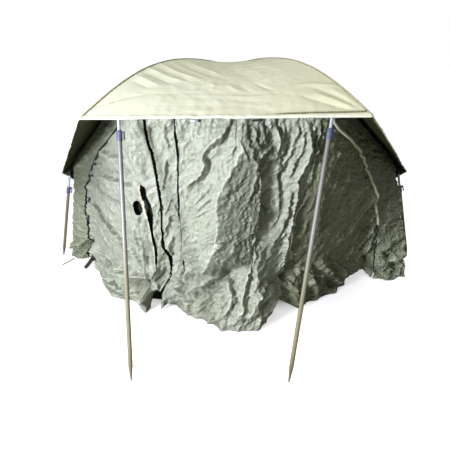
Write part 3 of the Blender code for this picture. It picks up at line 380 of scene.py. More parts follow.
RIGHT_ARCH = ((0, 0.53, 0.001), (0.122, 0.582, 0.001), (0.132, 0.679, 0.001), (0.138, 0.78, 0.001),
    (0.172, 0.874, 0.001), (0.246, 0.945, 0.001), (0.311, 1.005, 0.001), (0.375, 1.031, 0.001),
    (0.455, 1.043, 0.001), (0.539, 1.061, 0.002), (0.629, 1.058, 0.002), (0.754, 1.046, 0.003),
    (0.85, 1.035, 0.004), (1, 1.02, 0.005))
LEFT_END = ((0.0, -1.25, 0), (0.30, -1.25, 0), (0.60, -1.25, 0), (1.0, -1.25, 0))
RIGHT_END = ((0.0, 1.25, 0), (0.10, 1.26, 0), (0.30, 1.30, 0), (0.55, 1.30, 0), (1.0, 1.255, 0))
MESH_LEFT = ((0, -0.70, 0), (1, -0.70, 0))
MESH_RIGHT = ((0, -0.22, 0), (1, -0.22, 0))

# Folds of the wall as the photograph shows them: height, dark width, reach, then (place, down)
# points. Each is lit on its left and falls to its right over its dark width; 0 is an even dip.
# The folds' dark widths are painted with shade and their crests with highlights, as well as shaped.
WALL_FOLDS = (
    (0.07, 0.25, 0.3, ((0.102, 0.108), (0.079, 0.214), (0.001, 0.319), (-0.044, 0.401),
        (-0.041, 0.521), (-0.056, 0.611), (-0.134, 0.77))),
    (0.026, 0.030, 0.035, ((0.023, 0.106), (-0.033, 0.154), (-0.097, 0.194), (-0.123, 0.228),
        (-0.112, 0.265), (-0.134, 0.305), (-0.187, 0.337), (-0.239, 0.379))),
    (0.01, 0.012, 0.03, ((-0.067, 0.381), (-0.112, 0.417), (-0.168, 0.461))),
    (0.008, 0.012, 0.03, ((-0.089, 0.359), (-0.134, 0.399), (-0.168, 0.431))),
    (0.008, 0.01, 0.03, ((-0.078, 0.435), (-0.131, 0.461), (-0.183, 0.489))),
    (0.007, 0.01, 0.02, ((-0.217, 0.571), (-0.247, 0.605), (-0.258, 0.633))),
    (0.016, 0.016, 0.03, ((-0.34, 0.271), (-0.355, 0.327), (-0.382, 0.405))),
    (0.014, 0.012, 0.025, ((-0.322, 0.419), (-0.352, 0.481), (-0.378, 0.513))),
    (0.02, 0.016, 0.03, ((-0.325, 0.491), (-0.359, 0.561), (-0.374, 0.625))),
    (0.022, 0.018, 0.03, ((-0.314, 0.587), (-0.348, 0.659), (-0.367, 0.743))),
    (0.012, 0.014, 0.03, ((-0.31, 0.445), (-0.288, 0.465), (-0.273, 0.495))),
    (0.012, 0.01, 0.02, ((-0.434, 0.142), (-0.43, 0.184), (-0.415, 0.23))),
    (0.01, 0.01, 0.02, ((-0.337, 0.126), (-0.337, 0.186), (-0.325, 0.244))),
    (0.01, 0, 0.018, ((-0.494, 0.15), (-0.483, 0.234), (-0.464, 0.315), (-0.457, 0.391))),
    (0.012, 0.03, 0.06, ((-0.839, 0.291), (-0.663, 0.355), (-0.535, 0.405))),
    (0.014, 0, 0.022, ((-0.989, 0.291), (-0.801, 0.401), (-0.678, 0.455), (-0.588, 0.489))),
    (0.018, 0.03, 0.06, ((-1.06, 0.443), (-0.873, 0.549), (-0.73, 0.633), (-0.682, 0.705),
        (-0.64, 0.782))),
    (0.01, 0, 0.02, ((-1.06, 0.331), (-0.951, 0.465), (-0.801, 0.545), (-0.712, 0.635))),
    (0.014, 0.02, 0.04, ((-0.652, 0.683), (-0.603, 0.741), (-0.52, 0.8))),
    (0.014, 0, 0.014, ((-0.517, 0.515), (-0.539, 0.575), (-0.535, 0.677), (-0.513, 0.784))),
    (0.01, 0, 0.01, ((-0.49, 0.527), (-0.49, 0.615), (-0.487, 0.725))),
    (0.012, 0.012, 0.02, ((-0.554, 0.559), (-0.58, 0.639), (-0.554, 0.731))),
    (0.018, 0.03, 0.05, ((-0.933, 0.976), (-0.712, 0.938), (-0.663, 0.938))),
    (0.014, 0.02, 0.04, ((-0.903, 0.978), (-0.734, 0.98), (-0.535, 0.932))),
    (0.012, 0.016, 0.04, ((-0.824, 0.85), (-0.685, 0.864), (-0.532, 0.844))),
    (0.01, 0.02, 0.05, ((-0.869, 0.128), (-0.738, 0.216), (-0.584, 0.271))),
    (0.01, 0, 0.03, ((-0.94, 0.208), (-0.764, 0.267), (-0.562, 0.345))),
    (0.01, 0.01, 0.025, ((0.049, 0.114), (0.046, 0.172), (0.027, 0.24))),
    (0.01, 0.01, 0.025, ((0.083, 0.11), (0.079, 0.18), (0.109, 0.234), (0.121, 0.265))),
    (0.012, 0.01, 0.025, ((0.106, 0.11), (0.113, 0.162), (0.136, 0.224), (0.158, 0.277))),
    (0.012, 0.012, 0.025, ((0.143, 0.116), (0.154, 0.17), (0.169, 0.21))),
    (0.012, 0.012, 0.025, ((0.192, 0.124), (0.199, 0.172), (0.218, 0.196))),
    (0.04, 0.026, 0.06, ((0.271, 0.132), (0.274, 0.162), (0.285, 0.192), (0.274, 0.224),
        (0.248, 0.275))),
    (0.02, 0.022, 0.05, ((0.267, 0.196), (0.233, 0.21), (0.188, 0.226), (0.154, 0.263), (0.151, 0.331),
        (0.121, 0.403), (0.113, 0.449))),
    (0.026, 0.02, 0.045, ((0.162, 0.251), (0.166, 0.293), (0.188, 0.341), (0.188, 0.415),
        (0.192, 0.467))),
    (0.045, 0, 0.04, ((0.241, 0.379), (0.229, 0.451), (0.211, 0.539), (0.196, 0.631), (0.188, 0.695))),
    (0.024, 0.026, 0.045, ((0.308, 0.132), (0.312, 0.182), (0.304, 0.238), (0.282, 0.295),
        (0.282, 0.349), (0.293, 0.415), (0.293, 0.487), (0.263, 0.561))),
    (0.014, 0.014, 0.03, ((0.342, 0.144), (0.334, 0.196), (0.297, 0.257))),
    (0.024, 0.02, 0.045, ((0.387, 0.132), (0.383, 0.17), (0.349, 0.242), (0.304, 0.305),
        (0.289, 0.333))),
    (0.022, 0.02, 0.04, ((0.417, 0.158), (0.417, 0.234), (0.368, 0.303), (0.342, 0.351))),
    (0.05, 0.036, 0.06, ((0.443, 0.144), (0.454, 0.188), (0.465, 0.228), (0.443, 0.281),
        (0.409, 0.325), (0.39, 0.359), (0.398, 0.399), (0.387, 0.477), (0.368, 0.549), (0.345, 0.629),
        (0.33, 0.725), (0.315, 0.816), (0.304, 0.896), (0.293, 0.938))),
    (0.022, 0.02, 0.04, ((0.357, 0.407), (0.342, 0.495), (0.312, 0.565), (0.267, 0.611),
        (0.237, 0.665))),
    (0.018, 0.016, 0.03, ((0.327, 0.597), (0.293, 0.631), (0.248, 0.653))),
    (0.026, 0.022, 0.04, ((0.514, 0.142), (0.507, 0.257), (0.492, 0.321), (0.465, 0.389))),
    (0.016, 0.014, 0.03, ((0.477, 0.148), (0.48, 0.2), (0.469, 0.263))),
    (0.01, 0, 0.03, ((0.582, 0.158), (0.563, 0.244), (0.54, 0.337))),
    (0.01, 0.02, 0.04, ((0.683, 0.216), (0.63, 0.295), (0.604, 0.363))),
    (0.012, 0.02, 0.05, ((0.732, 0.228), (0.679, 0.331), (0.649, 0.413))),
    (0.014, 0.016, 0.05, ((0.953, 0.325), (0.863, 0.411), (0.773, 0.489))),
    (0.034, 0.045, 0.07, ((1.039, 0.345), (0.956, 0.471), (0.848, 0.587), (0.762, 0.675),
        (0.683, 0.754))),
    (0.018, 0.02, 0.05, ((1.05, 0.485), (0.945, 0.647), (0.851, 0.747), (0.784, 0.794))),
    (0.018, 0.02, 0.05, ((1.043, 0.561), (0.975, 0.721), (0.896, 0.852), (0.84, 0.894))),
    (0.024, 0.022, 0.05, ((1.031, 0.689), (0.971, 0.838), (0.923, 0.976))),
    (0.05, 0, 0.045, ((-0.134, 0.76), (-0.082, 0.798), (0.019, 0.749), (0.117, 0.715),
        (0.181, 0.709))),
    (0.03, 0.04, 0.05, ((-0.041, 0.764), (-0.131, 0.806), (-0.202, 0.87))),
    (0.034, 0.03, 0.05, ((0.136, 0.721), (0.102, 0.794), (0.079, 0.852), (0.087, 0.894),
        (0.027, 0.95))),
    (0.02, 0.02, 0.04, ((-0.018, 0.778), (0.016, 0.834), (0.012, 0.888), (-0.037, 0.944))),
    (0.03, 0, 0.03, ((0.192, 0.681), (0.169, 0.729), (0.128, 0.784))),
    (0.026, 0.026, 0.05, ((0.282, 0.87), (0.233, 0.886), (0.196, 0.92), (0.177, 0.98))),
    (0.018, 0.02, 0.04, ((-0.149, 0.862), (-0.104, 0.898), (-0.146, 0.958))),
    (0.014, 0.02, 0.04, ((-0.37, 0.9), (-0.292, 0.93), (-0.206, 0.93))),
    (0.018, 0, 0.03, ((-0.329, 0.87), (-0.236, 0.878), (-0.183, 0.9))),
    (0.034, 0, 0.03, ((0.413, 0.766), (0.364, 0.824), (0.338, 0.904))),
    (0.03, 0.03, 0.04, ((0.473, 0.806), (0.529, 0.86), (0.57, 0.934), (0.563, 0.982))),
    (0.02, 0.02, 0.03, ((0.364, 0.876), (0.42, 0.91), (0.45, 0.964))),
    (0.034, 0, 0.028, ((0.567, 0.848), (0.608, 0.91), (0.623, 0.972))),
    (0.02, 0.02, 0.04, ((0.717, 0.828), (0.792, 0.904), (0.799, 0.98))),
)

# A fold this high gets the fullest painted shade, and a broad one keeps its painted shade to its end
DARKEST_FOLD = 0.014
BROAD_FOLD = 0.1

# Layers of crumple all over the nylon: size, height, how strongly its creases' lines are painted as shade
# and highlights, seed, and how far their directions spread
CRUMPLES = (
    (0.150, 0.0058, 0.30, 8, 0.7),
    (0.075, 0.0048, 0.55, 6, 1.2),
    (0.036, 0.0038, 0.75, 7, 2.0),
    (0.018, 0.0015, 0.50, 21, 2.6),
)
LEFT_LEAN = -0.8
RIGHT_LEAN = 0.6
TUMBLE_SIZE = 0.17
TUMBLE_HEIGHT = 0.036

# Puckers along the joins: the join, their depth and their length
JOIN_PUCKERS = ((THIRD_LINE, 0.0045, 0.026), (WINDOW_LINE, 0.002, 0.03), (RIGHT_ARCH, 0.004, 0.028),
                (LEFT_ARCH, 0.004, 0.03))
PUCKER_WIDTH = 0.02
PUCKER_REACH = 0.022

# How far the cloth stands out beside a join: the join, on its left and on its right
JOIN_STEPS = ((CURVED_LINE, 0.012, -0.006), (STRAIGHT_LINE, -0.004, 0.012), (THIRD_LINE, 0.004, 0.009))
STEP_REACH = 0.032

# The door's small opening: its middle and half its width and height
HOLE_PLACE = -0.538
HOLE_DOWN = 0.483
HOLE_WIDTH = 0.032
HOLE_HEIGHT = 0.043

# Corners of the mesh this near its edge are moved onto it, and faces this far inside are cut out
HOLE_ROUNDED = (0.84, 1.10)
HOLE_CUT = 0.9644

NEARLY_NOTHING = 1e-12


def on_wall(points):
    """(place, down) points in metres across and down the wall."""
    return [(place * WALL_HALF_WIDTH, down * WALL_DROP) for place, down in points]


def line_of(join):
    """A join's points in metres across and down the wall."""
    return on_wall((place, down) for down, place, _ in join)


def smooth_through(value, at, height):
    """A smooth curve through points, which never swings past them."""
    step = np.diff(at)
    slope = np.diff(height) / step
    before, after = slope[:-1], slope[1:]
    even = np.where(after * before > 0, 2 * after * before / (after + before + NEARLY_NOTHING), 0)
    lean = np.concatenate((slope[:1], even, slope[-1:]))
    low = np.clip(np.searchsorted(at, value, "right") - 1, 0, len(step) - 1)
    share = np.clip((value - at[low]) / step[low], 0, 1)
    leaving = (share - 2 * share ** 2 + share ** 3) * step[low] * lean[low]
    arriving = (share ** 3 - share ** 2) * step[low] * lean[low + 1]
    climb = (height[low + 1] - height[low]) * share ** 2 * (3 - 2 * share)
    return height[low] + leaving + climb + arriving


def join_place(join, down, side):
    """The place of one side (-1 or 1) of a join, some way down."""
    table = np.array(join)
    middle = smooth_through(down, table[:, 0], table[:, 1])
    gap = smooth_through(down, table[:, 0], table[:, 2])
    return middle + side * gap / WALL_HALF_WIDTH


def photograph_folds(x, y):
    """The folds of WALL_FOLDS: their height, how free the cloth is of their painted shade, and the painted
    highlights on their crests.
    """
    relief = np.zeros(np.shape(x))
    free_of_painted_shade = np.ones(np.shape(x))
    painted_highlight = np.zeros(np.shape(x))
    for number, (height, widest, reach, points) in enumerate(WALL_FOLDS):
        away, side, along = beside_line(x, y, on_wall(points))
        broad = widest > BROAD_FOLD
        uneven = 1 + 0.5 * lattice_noise(along * 6, 0 * along + 1.7 * number, 81)
        dark = widest * uneven * (0.45 + 0.55 * np.sin(pi * np.clip(along, 0, 1)) ** 0.6)
        fade = ease(1 - along, 0, 0.04 if broad else 0.20) * ease(along, -0.06, 0.12)
        depth = min(height / DARKEST_FOLD, 1) * fade
        if widest == 0:
            relief -= height * uneven * fade * np.exp(-away / reach)
            # Painted shade in the dip.
            free_of_painted_shade *= 1 - 0.8 * depth * np.exp(-2 * away / reach)
            continue
        # Painted shade over each fold's dark side, and a painted highlight along its crest.
        inside = (side > 0) * ease(away, 0, 0.004) * ease(dark - away, -0.006, 0.006)
        free_of_painted_shade *= 1 - depth * inside * (0.9 if broad else 1.0)
        painted_highlight = np.maximum(painted_highlight, 0.8 * depth * (side <= 0) * ease(0.013 - away, 0, 0.009))
        slope = 1 - 1.45 * away / dark
        falling = np.where(away < dark, slope, -0.45 * np.exp(-(away - dark) / reach))
        relief += height * fade * np.where(side > 0, falling, np.exp(-away / reach))
    return relief, free_of_painted_shade, painted_highlight


def crumpled(x, y, place, low, rough):
    """The crumple all over the wall: its height, how far it stands out, for painted shade in its hollows,
    and its creases' lines, for painted shade and highlights.
    """
    leftward = ease(-0.42 - place, 0, 0.12)
    tumbled, edges = creased(x, y, TUMBLE_SIZE, 5, 0.4, 2.6)
    relief = TUMBLE_HEIGHT * low * tumbled
    raised = 0.9 * low * tumbled
    drawn = 0.5 * low * edges
    for size, height, line, seed, spread in CRUMPLES:
        down_right, right_lines = creased(x, y, size, seed, LEFT_LEAN, spread)
        down_left, left_lines = creased(x, y, size, seed + 3, RIGHT_LEAN, spread)
        field = leftward * down_right + (1 - leftward) * down_left
        relief += height * (0.55 + 0.45 * rough) * (1 + 0.7 * low) * field
        raised += 0.45 * field
        drawn += line * (leftward * right_lines + (1 - leftward) * left_lines)
    return relief, raised, drawn * (0.8 + 0.2 * rough)


def beside_joins(x, y):
    """How the cloth puckers and stands out along its joins."""
    relief = np.zeros(np.shape(x))
    for join, depth, pitch in JOIN_PUCKERS:
        away, _, _ = beside_line(x, y, line_of(join))
        relief += depth * lattice_noise(x / PUCKER_WIDTH, y / pitch, 13) * np.exp(-away / PUCKER_REACH)
    for join, left_step, right_step in JOIN_STEPS:
        away, side, _ = beside_line(x, y, line_of(join))
        relief += np.where(side > 0, right_step, left_step) * np.exp(-away / STEP_REACH)
    return relief


def under_canopy(place, down):
    """How much painted shade the ends of the wall get, where they hang deep under the canopy."""
    lowest = np.where(place < 0, 0.46, 0.38)
    return ease(np.abs(place), 0.58, 0.92) * (1 - ease(down / lowest, 0.28, 1))


def wall_relief(place, down):
    """How far the wall's folds stand out of its hanging surface, and the shade painted on it, which below 0
    is a painted highlight.
    """
    x = place * WALL_HALF_WIDTH
    y = down * WALL_DROP
    bend_x = x + 0.005 * lattice_noise(x / 0.09, y / 0.09, 3)
    bend_x += 0.0040 * creased(x, y, 0.055, 4, 1.3, 2.2)[0]
    bend_y = y + 0.006 * lattice_noise(x / 0.09, y / 0.09, 14)
    relief, free_of_painted_shade, painted_highlight = photograph_folds(bend_x, bend_y)

    # Parts of the wall: what lies on the ground, the calm middle, the window, and both sides
    low = ease(down, 0.76, 0.84)
    hung = 1 - low
    calm = np.exp(-((place + 0.13) / 0.13) ** 2) * hung
    window = ease(place, 0.38, 0.44) * ease(0.92 - place, 0, 0.08) * ease(down, 0.38, 0.44) * hung
    left = ease(-0.50 - place, 0, 0.1) * hung
    right = ease(place, 0.50, 0.62)
    rough = 1 - 0.6 * calm - 0.75 * window - 0.6 * left

    crumple, raised, drawn = crumpled(bend_x, bend_y, place, low, rough)
    relief += crumple
    # Painted shade in the crumple's hollows, more on the ground and on the right, and over all of the
    # ground part.
    free_of_painted_shade *= 1 - ease(-raised, 0.1, 1.4) * (0.22 + 0.30 * low + 0.20 * right) - 0.16 * low
    # Painted shade over the right side, darker still over the right wing.
    free_of_painted_shade *= 1 - 0.22 * right * hung - 0.32 * ease(place, 0.98, 1.08)
    # Painted shade over the left part of the window.
    free_of_painted_shade *= 1 - 0.5 * window * (1 - ease(place, 0.52, 0.66))
    # Painted shade along the crease lines' valleys, and painted highlights along their crests.
    free_of_painted_shade *= 1 - 0.60 * np.clip(drawn, 0, 1)
    painted_highlight = np.maximum(painted_highlight, (0.7 + 0.3 * right) * np.clip(-drawn, 0, 1))
    relief += 0.010 * lattice_noise(x / 0.34, y / 0.50, 9)
    relief += beside_joins(x, y)
    # Painted shade on the wall's ends under the canopy.
    under = under_canopy(place, down)
    free_of_painted_shade *= 1 - 0.9 * under
    # Above 0 this is painted shade, below 0 a painted highlight, which is left out under the canopy.
    shade = (1 - free_of_painted_shade) * (1 - painted_highlight) - 0.3 * painted_highlight * (1 - under)
    held = ease(down, -0.02, 0.08) * (0.4 + 0.6 * ease(1 - down, 0, 0.05))
    return relief * held, shade


def wall_points(place, down, lift=0.0):
    """Points of the hanging wall with its folds, the way it faces, and the shade painted on it."""
    facing = level_facing(place, down)
    relief, shade = wall_relief(place, down)
    points = hanging(place, down) + facing * (relief + lift)[..., None]
    points[..., 2] = np.maximum(points[..., 2], LOWEST_CLOTH)
    return points, facing, shade


# Meshes

def new_piece(name, shape, material, smooth=True):
    """An object at the origin from a bmesh."""
    data = bpy.data.meshes.new(name)
    shape.to_mesh(data)
    shape.free()
    piece = bpy.data.objects.new(name, data)
    bpy.context.scene.collection.objects.link(piece)
    data.materials.append(material)
    if smooth:
        data.shade_smooth()
    return piece


def grid_piece(name, columns, rows, rule, material, size, hole=None):
    """A sheet from a grid: the rule gives the points for arrays of shares across and along, and the painted
    shade of each where the finish wants it.

    The UV map is in metres, from the size of the flat sheet."""
    shape = bmesh.new()
    bmesh.ops.create_grid(shape, x_segments=columns, y_segments=rows, size=0.5)
    shares = np.array([corner.co[:2] for corner in shape.verts]) + 0.5
    if hole is not None:
        shares, inside = hole(shares)
    made = rule(shares[:, 0], shares[:, 1])
    points, shade = made if isinstance(made, tuple) else (made, None)
    points = in_frame(points)
    cloth_map = shape.loops.layers.uv.new("cloth")
    for face in shape.faces:
        for loop in face.loops:
            across, along = shares[loop.vert.index]
            loop[cloth_map].uv = (across * size[0], along * size[1])
    # The painted shade and highlights go in a mesh attribute that the finish reads.
    if shade is not None:
        layer = shape.verts.layers.float.new("shade")
        for corner, level in zip(shape.verts, shade.tolist()):
            corner[layer] = level
    for corner, point in zip(shape.verts, points.tolist()):
        corner.co = point
    if hole is not None:
        cut = [face for face in shape.faces if inside(shares[[v.index for v in face.verts]].mean(0))]
        bmesh.ops.delete(shape, geom=cut, context="FACES")
    return new_piece(name, shape, material)


def thicken(piece, thickness, offset=0.0, inside_slot=0):
    """Gives a sheet its thickness."""
    solidify = piece.modifiers.new("cloth", "SOLIDIFY")
    solidify.thickness = thickness
    solidify.offset = offset
    solidify.material_offset = inside_slot
    return piece


def ribbon_piece(name, points, faces_to, width, material, crown=0.0006, columns=4, widths=None):
    """A tape along points, wide across its run and facing a way, a little crowned."""
    points = np.asarray(points, float)
    faces_to = np.asarray(faces_to, float)
    run = np.gradient(points, axis=0)
    run /= np.linalg.norm(run, axis=1, keepdims=True)
    across = np.cross(run, faces_to)
    across /= np.linalg.norm(across, axis=1, keepdims=True)
    spread = np.full(len(points), width) if widths is None else np.asarray(widths, float)
    lengths = np.concatenate(((0,), np.cumsum(np.linalg.norm(np.diff(points, axis=0), axis=1))))

    def rule(share_across, share_along):
        place = share_along * (len(points) - 1)

        def at(values):
            rows = np.arange(len(points))
            return np.stack([np.interp(place, rows, values[:, axis]) for axis in range(3)], -1)

        half = np.interp(place, np.arange(len(points)), spread) * (share_across - 0.5)
        rise = crown * (1 - (2 * share_across - 1) ** 2)
        return at(points) + at(across) * half[:, None] + at(faces_to) * rise[:, None]

    return grid_piece(name, columns, len(points) - 1, rule, material, (width, lengths[-1]))


def cord_piece(name, points, radius, material, sides=8):
    """A round binding, piping or loop along points, with closed ends."""
    points = np.asarray(points, float)
    run = np.gradient(points, axis=0)
    run /= np.linalg.norm(run, axis=1, keepdims=True)
    radii = np.full(len(points), radius) if np.isscalar(radius) else np.asarray(radius, float)
    level = np.cross(run[0], (0.3, 0.2, 0.93))
    rings = []
    for point, way, size in zip(points, run, radii):
        level = level - way * (level @ way)
        level = level / np.linalg.norm(level)
        upright = np.cross(way, level)
        angles = np.arange(sides + 1) * (2 * pi / sides)
        ring = np.cos(angles)[:, None] * level + np.sin(angles)[:, None] * upright
        rings.append(point + ring * size)
    rings = in_frame(rings)
    lengths = np.concatenate(((0,), np.cumsum(np.linalg.norm(np.diff(points, axis=0), axis=1))))
    shape = bmesh.new()
    bmesh.ops.create_grid(shape, x_segments=sides, y_segments=len(points) - 1, size=0.5)
    cloth_map = shape.loops.layers.uv.new("cloth")
    steps = [(round((c.co.x + 0.5) * sides), round((c.co.y + 0.5) * (len(points) - 1)))
             for c in shape.verts]
    for face in shape.faces:
        for loop in face.loops:
            around, along = steps[loop.vert.index]
            loop[cloth_map].uv = (around / sides * 2 * pi * radii[along], lengths[along])
    for corner, (around, along) in zip(shape.verts, steps):
        corner.co = rings[along][around].tolist()
    bmesh.ops.remove_doubles(shape, verts=shape.verts, dist=1e-6)
    bmesh.ops.holes_fill(shape, edges=shape.edges, sides=sides)
    bmesh.ops.recalc_face_normals(shape, faces=shape.faces)
    return new_piece(name, shape, material)


# Shader maths

class Value:
    """A number that varies over a surface: a socket with the arithmetic that the finishes use."""

    def __init__(self, tree, socket):
        self.tree = tree
        self.socket = socket

    def maths(self, operation, first, second=0.0):
        node = self.tree.add("ShaderNodeMath", {"operation": operation}, {0: first, 1: second})
        return Value(self.tree, node.outputs[0])

    def __add__(self, other):
        return self.maths("ADD", self, other)

    __radd__ = __add__

    def __mul__(self, other):
        return self.maths("MULTIPLY", self, other)

    __rmul__ = __mul__

    def __sub__(self, other):
        return self.maths("SUBTRACT", self, other)

    def __rsub__(self, other):
        return self.maths("SUBTRACT", other, self)

    def __abs__(self):
        return self.maths("ABSOLUTE", self)

    def highest(self, other):
        return self.maths("MAXIMUM", self, other)

    def between(self, low, high):
        """Rises smoothly from 0 at low to 1 at high."""
        settings = {"interpolation_type": "SMOOTHSTEP", "clamp": True}
        node = self.tree.add("ShaderNodeMapRange", settings, {0: self, 1: low, 2: high})
        return Value(self.tree, node.outputs[0])


class NodeTree:
    """The nodes of a finish or of the world."""

    def __init__(self, tree):
        self.nodes = tree.nodes
        self.links = tree.links

    def add(self, kind, settings=(), sockets=()):
        """A node of a type, with its settings, then the values or links of its sockets."""
        node = self.nodes.new(kind)
        for setting, value in dict(settings).items():
            setattr(node, setting, value)
        for socket, value in dict(sockets).items():
            self.feed(node.inputs[socket], value)
        return node

    def feed(self, socket, value):
        """Links a socket to a value, or sets it where the value is a plain one."""
        if isinstance(value, Value):
            value = value.socket
        if isinstance(value, bpy.types.NodeSocket):
            self.links.new(value, socket)
        else:
            socket.default_value = value


class Finish(NodeTree):
    """A material and the nodes that colour, roughen and emboss it."""

    def __init__(self, name, **uniform):
        self.material = bpy.data.materials.new(name)
        self.material.use_nodes = True
        super().__init__(self.material.node_tree)
        self.shader = self.nodes["Principled BSDF"]
        for socket, value in uniform.items():
            self.shader.inputs[socket.replace("_", " ")].default_value = value

    def place(self, source="Object", stretch=(1, 1, 1), turn=(0, 0, 0), shift=(0, 0, 0)):
        coordinates = self.add("ShaderNodeTexCoord")
        sockets = {"Vector": coordinates.outputs[source], "Scale": stretch, "Rotation": turn,
                   "Location": shift}
        return self.add("ShaderNodeMapping", {}, sockets).outputs[0]

    def noise(self, place, scale, detail=3.0, rough=0.55, bend=0.0):
        sockets = {"Vector": place, "Scale": scale, "Detail": detail, "Roughness": rough,
                   "Distortion": bend}
        return Value(self, self.add("ShaderNodeTexNoise", {}, sockets).outputs[0])

    def creases(self, place, scale, detail, rough):
        """Sharp crests where a noise passes its middle, falling off evenly to both sides."""
        return 1 - 5 * abs(self.noise(place, scale, detail, rough) - 0.5)

    def bands(self, place, scale, direction, bend=0.0):
        settings = {"wave_type": "BANDS", "bands_direction": direction}
        sockets = {"Vector": place, "Scale": scale, "Distortion": bend}
        return Value(self, self.add("ShaderNodeTexWave", settings, sockets).outputs["Fac"])

    def weave(self, cloth, scale, bend=0.0):
        """Threads that cross, from bands along both ways of the cloth."""
        return self.bands(cloth, scale, "X", bend) + self.bands(cloth, scale, "Y", bend)

    def axis(self, place, name):
        node = self.add("ShaderNodeSeparateXYZ", {}, {0: place})
        return Value(self, node.outputs[name])

    def attribute(self, name):
        node = self.add("ShaderNodeAttribute", {"attribute_name": name})
        return Value(self, node.outputs["Fac"])

    def mix(self, share, first, second):
        """A colour between two, by a share."""
        node = self.add("ShaderNodeMix", {"data_type": "RGBA"}, {0: share, 6: first, 7: second})
        return node.outputs[2]

    def colour(self, value):
        self.feed(self.shader.inputs["Base Color"], value)

    def rough(self, value):
        self.feed(self.shader.inputs["Roughness"], value)

    def metal(self, value):
        self.feed(self.shader.inputs["Metallic"], value)

    def emboss(self, height, depth, strength=1.0):
        """Bumps of a height from 0 to 1, with the depth in metres."""
        sockets = {"Height": height, "Distance": depth, "Strength": strength}
        self.feed(self.shader.inputs["Normal"], self.add("ShaderNodeBump", {}, sockets).outputs[0])


def srgb(red, green, blue):
    """A colour as it is seen, from 0 to 255, as the shader takes it."""
    def linear(level):
        level /= 255
        return level / 12.92 if level <= 0.04045 else ((level + 0.055) / 1.055) ** 2.4
    return (linear(red), linear(green), linear(blue), 1.0)


# Finishes

def wall_nylon(name, base, lit, deep, gloss, crush=1.0):
    """Thin proofed nylon: a fine weave, sharp little creases, water marks and worn crease lines, with
    painted shade in its folds and painted highlights on their crests, where the mesh says so."""
    finish = Finish(name, Specular_IOR_Level=0.42, Sheen_Weight=0.05, Sheen_Roughness=0.4)
    place = finish.place()
    cloth = finish.place("UV")
    patches = finish.noise(place, 2.6, detail=4, bend=0.6).between(0.35, 0.68)
    grain = finish.noise(place, 38, detail=5, rough=0.65)
    lines = finish.creases(finish.place(stretch=(1.3, 1.3, 0.8), turn=(0, 0.5, 0)), 9, 6, 0.55)
    cross = finish.creases(finish.place(stretch=(1.0, 1.0, 1.5), turn=(0, -0.7, 0)), 15, 4, 0.5)
    small = finish.creases(place, 42, 3, 0.5)
    dust = finish.noise(place, 300, detail=2).between(0.62, 0.74)
    ground = (0.26 - finish.axis(place, 2)).between(0.0, 0.26)
    worn = lines.between(0.90, 1.0)
    # The mesh's painted shade: above 0 it darkens the folds, below 0 it paints highlights.
    shade = finish.attribute("shade")
    painted_fold_shade = shade * (0.5 + 0.5 * grain)
    glint = (0 - shade).between(0.0, 0.3)
    tone = finish.mix(patches * 0.5, base, lit)
    tone = finish.mix((grain - 0.35) * 0.3 + ground * 0.10, tone, deep)
    tone = finish.mix(worn * 0.16, tone, lit)
    tone = finish.mix(dust * 0.08, tone, srgb(206, 204, 184))
    # Painted shade in the folds.
    tone = finish.mix(painted_fold_shade * 0.88, tone, srgb(38, 43, 10))
    # Painted highlights on the crests.
    tone = finish.mix(glint * 0.5, tone, srgb(206, 212, 198))
    finish.colour(tone)
    finish.rough(gloss + 0.14 * grain - 0.06 * patches)
    weave = finish.weave(cloth, 420)
    height = lines + 0.5 * cross + 0.12 * small + 0.06 * grain + 0.003 * weave
    finish.emboss(height, 0.0044 * crush)
    return finish.material


def canopy_cloth_finish(name, base, pale, painted_warm_shade, stain_and_shade, gloss=0.62, sheen=0.12):
    """Proofed canvas-like polyester: a visible weave and faint stains, with painted shade that turns its
    right side warmer and darker and its crown darker still.
    """
    finish = Finish(name, Specular_IOR_Level=0.24, Sheen_Weight=sheen, Sheen_Roughness=0.5)
    place = finish.place()
    cloth = finish.place("UV")
    patches = finish.noise(place, 1.7, detail=4, bend=0.4).between(0.36, 0.66)
    grain = finish.noise(place, 60, detail=4, rough=0.6)
    streaks = finish.noise(finish.place(stretch=(1, 1, 5)), 5, detail=3).between(0.5, 0.75)
    # Painted shade: warmer and darker towards the right, darker still high on the right of the crown.
    side = finish.axis(place, 0).between(-0.35, 0.75)
    crown = side * finish.axis(place, 2).between(1.36, 1.50)
    tone = finish.mix(patches * 0.5, base, pale)
    tone = finish.mix(side * 0.75, tone, painted_warm_shade)
    tone = finish.mix(crown * 0.6, tone, stain_and_shade)
    tone = finish.mix(streaks * 0.10 + (grain - 0.4) * 0.16, tone, stain_and_shade)
    finish.colour(tone)
    finish.rough(gloss + 0.12 * grain)
    weave = finish.weave(cloth, 330, 0.3)
    slack = finish.noise(place, 16, detail=4, rough=0.6, bend=0.8)
    finish.emboss(0.75 * slack + 0.02 * weave + 0.2 * grain, 0.0016, 0.5)
    return finish.material


def plain_binding(name, base, worn, gloss=0.6):
    """Woven tape: ribs across it, a little fluff and wear."""
    finish = Finish(name, Specular_IOR_Level=0.3)
    place = finish.place()
    cloth = finish.place("UV")
    rub = finish.noise(place, 45, detail=4).between(0.45, 0.75)
    finish.colour(finish.mix(rub * 0.6, base, worn))
    finish.rough(gloss + 0.15 * rub)
    ribs = finish.bands(cloth, 260, "Y", 0.4)
    finish.emboss(0.3 * ribs + 0.7 * finish.noise(place, 160, detail=3), 0.0008, 0.5)
    return finish.material


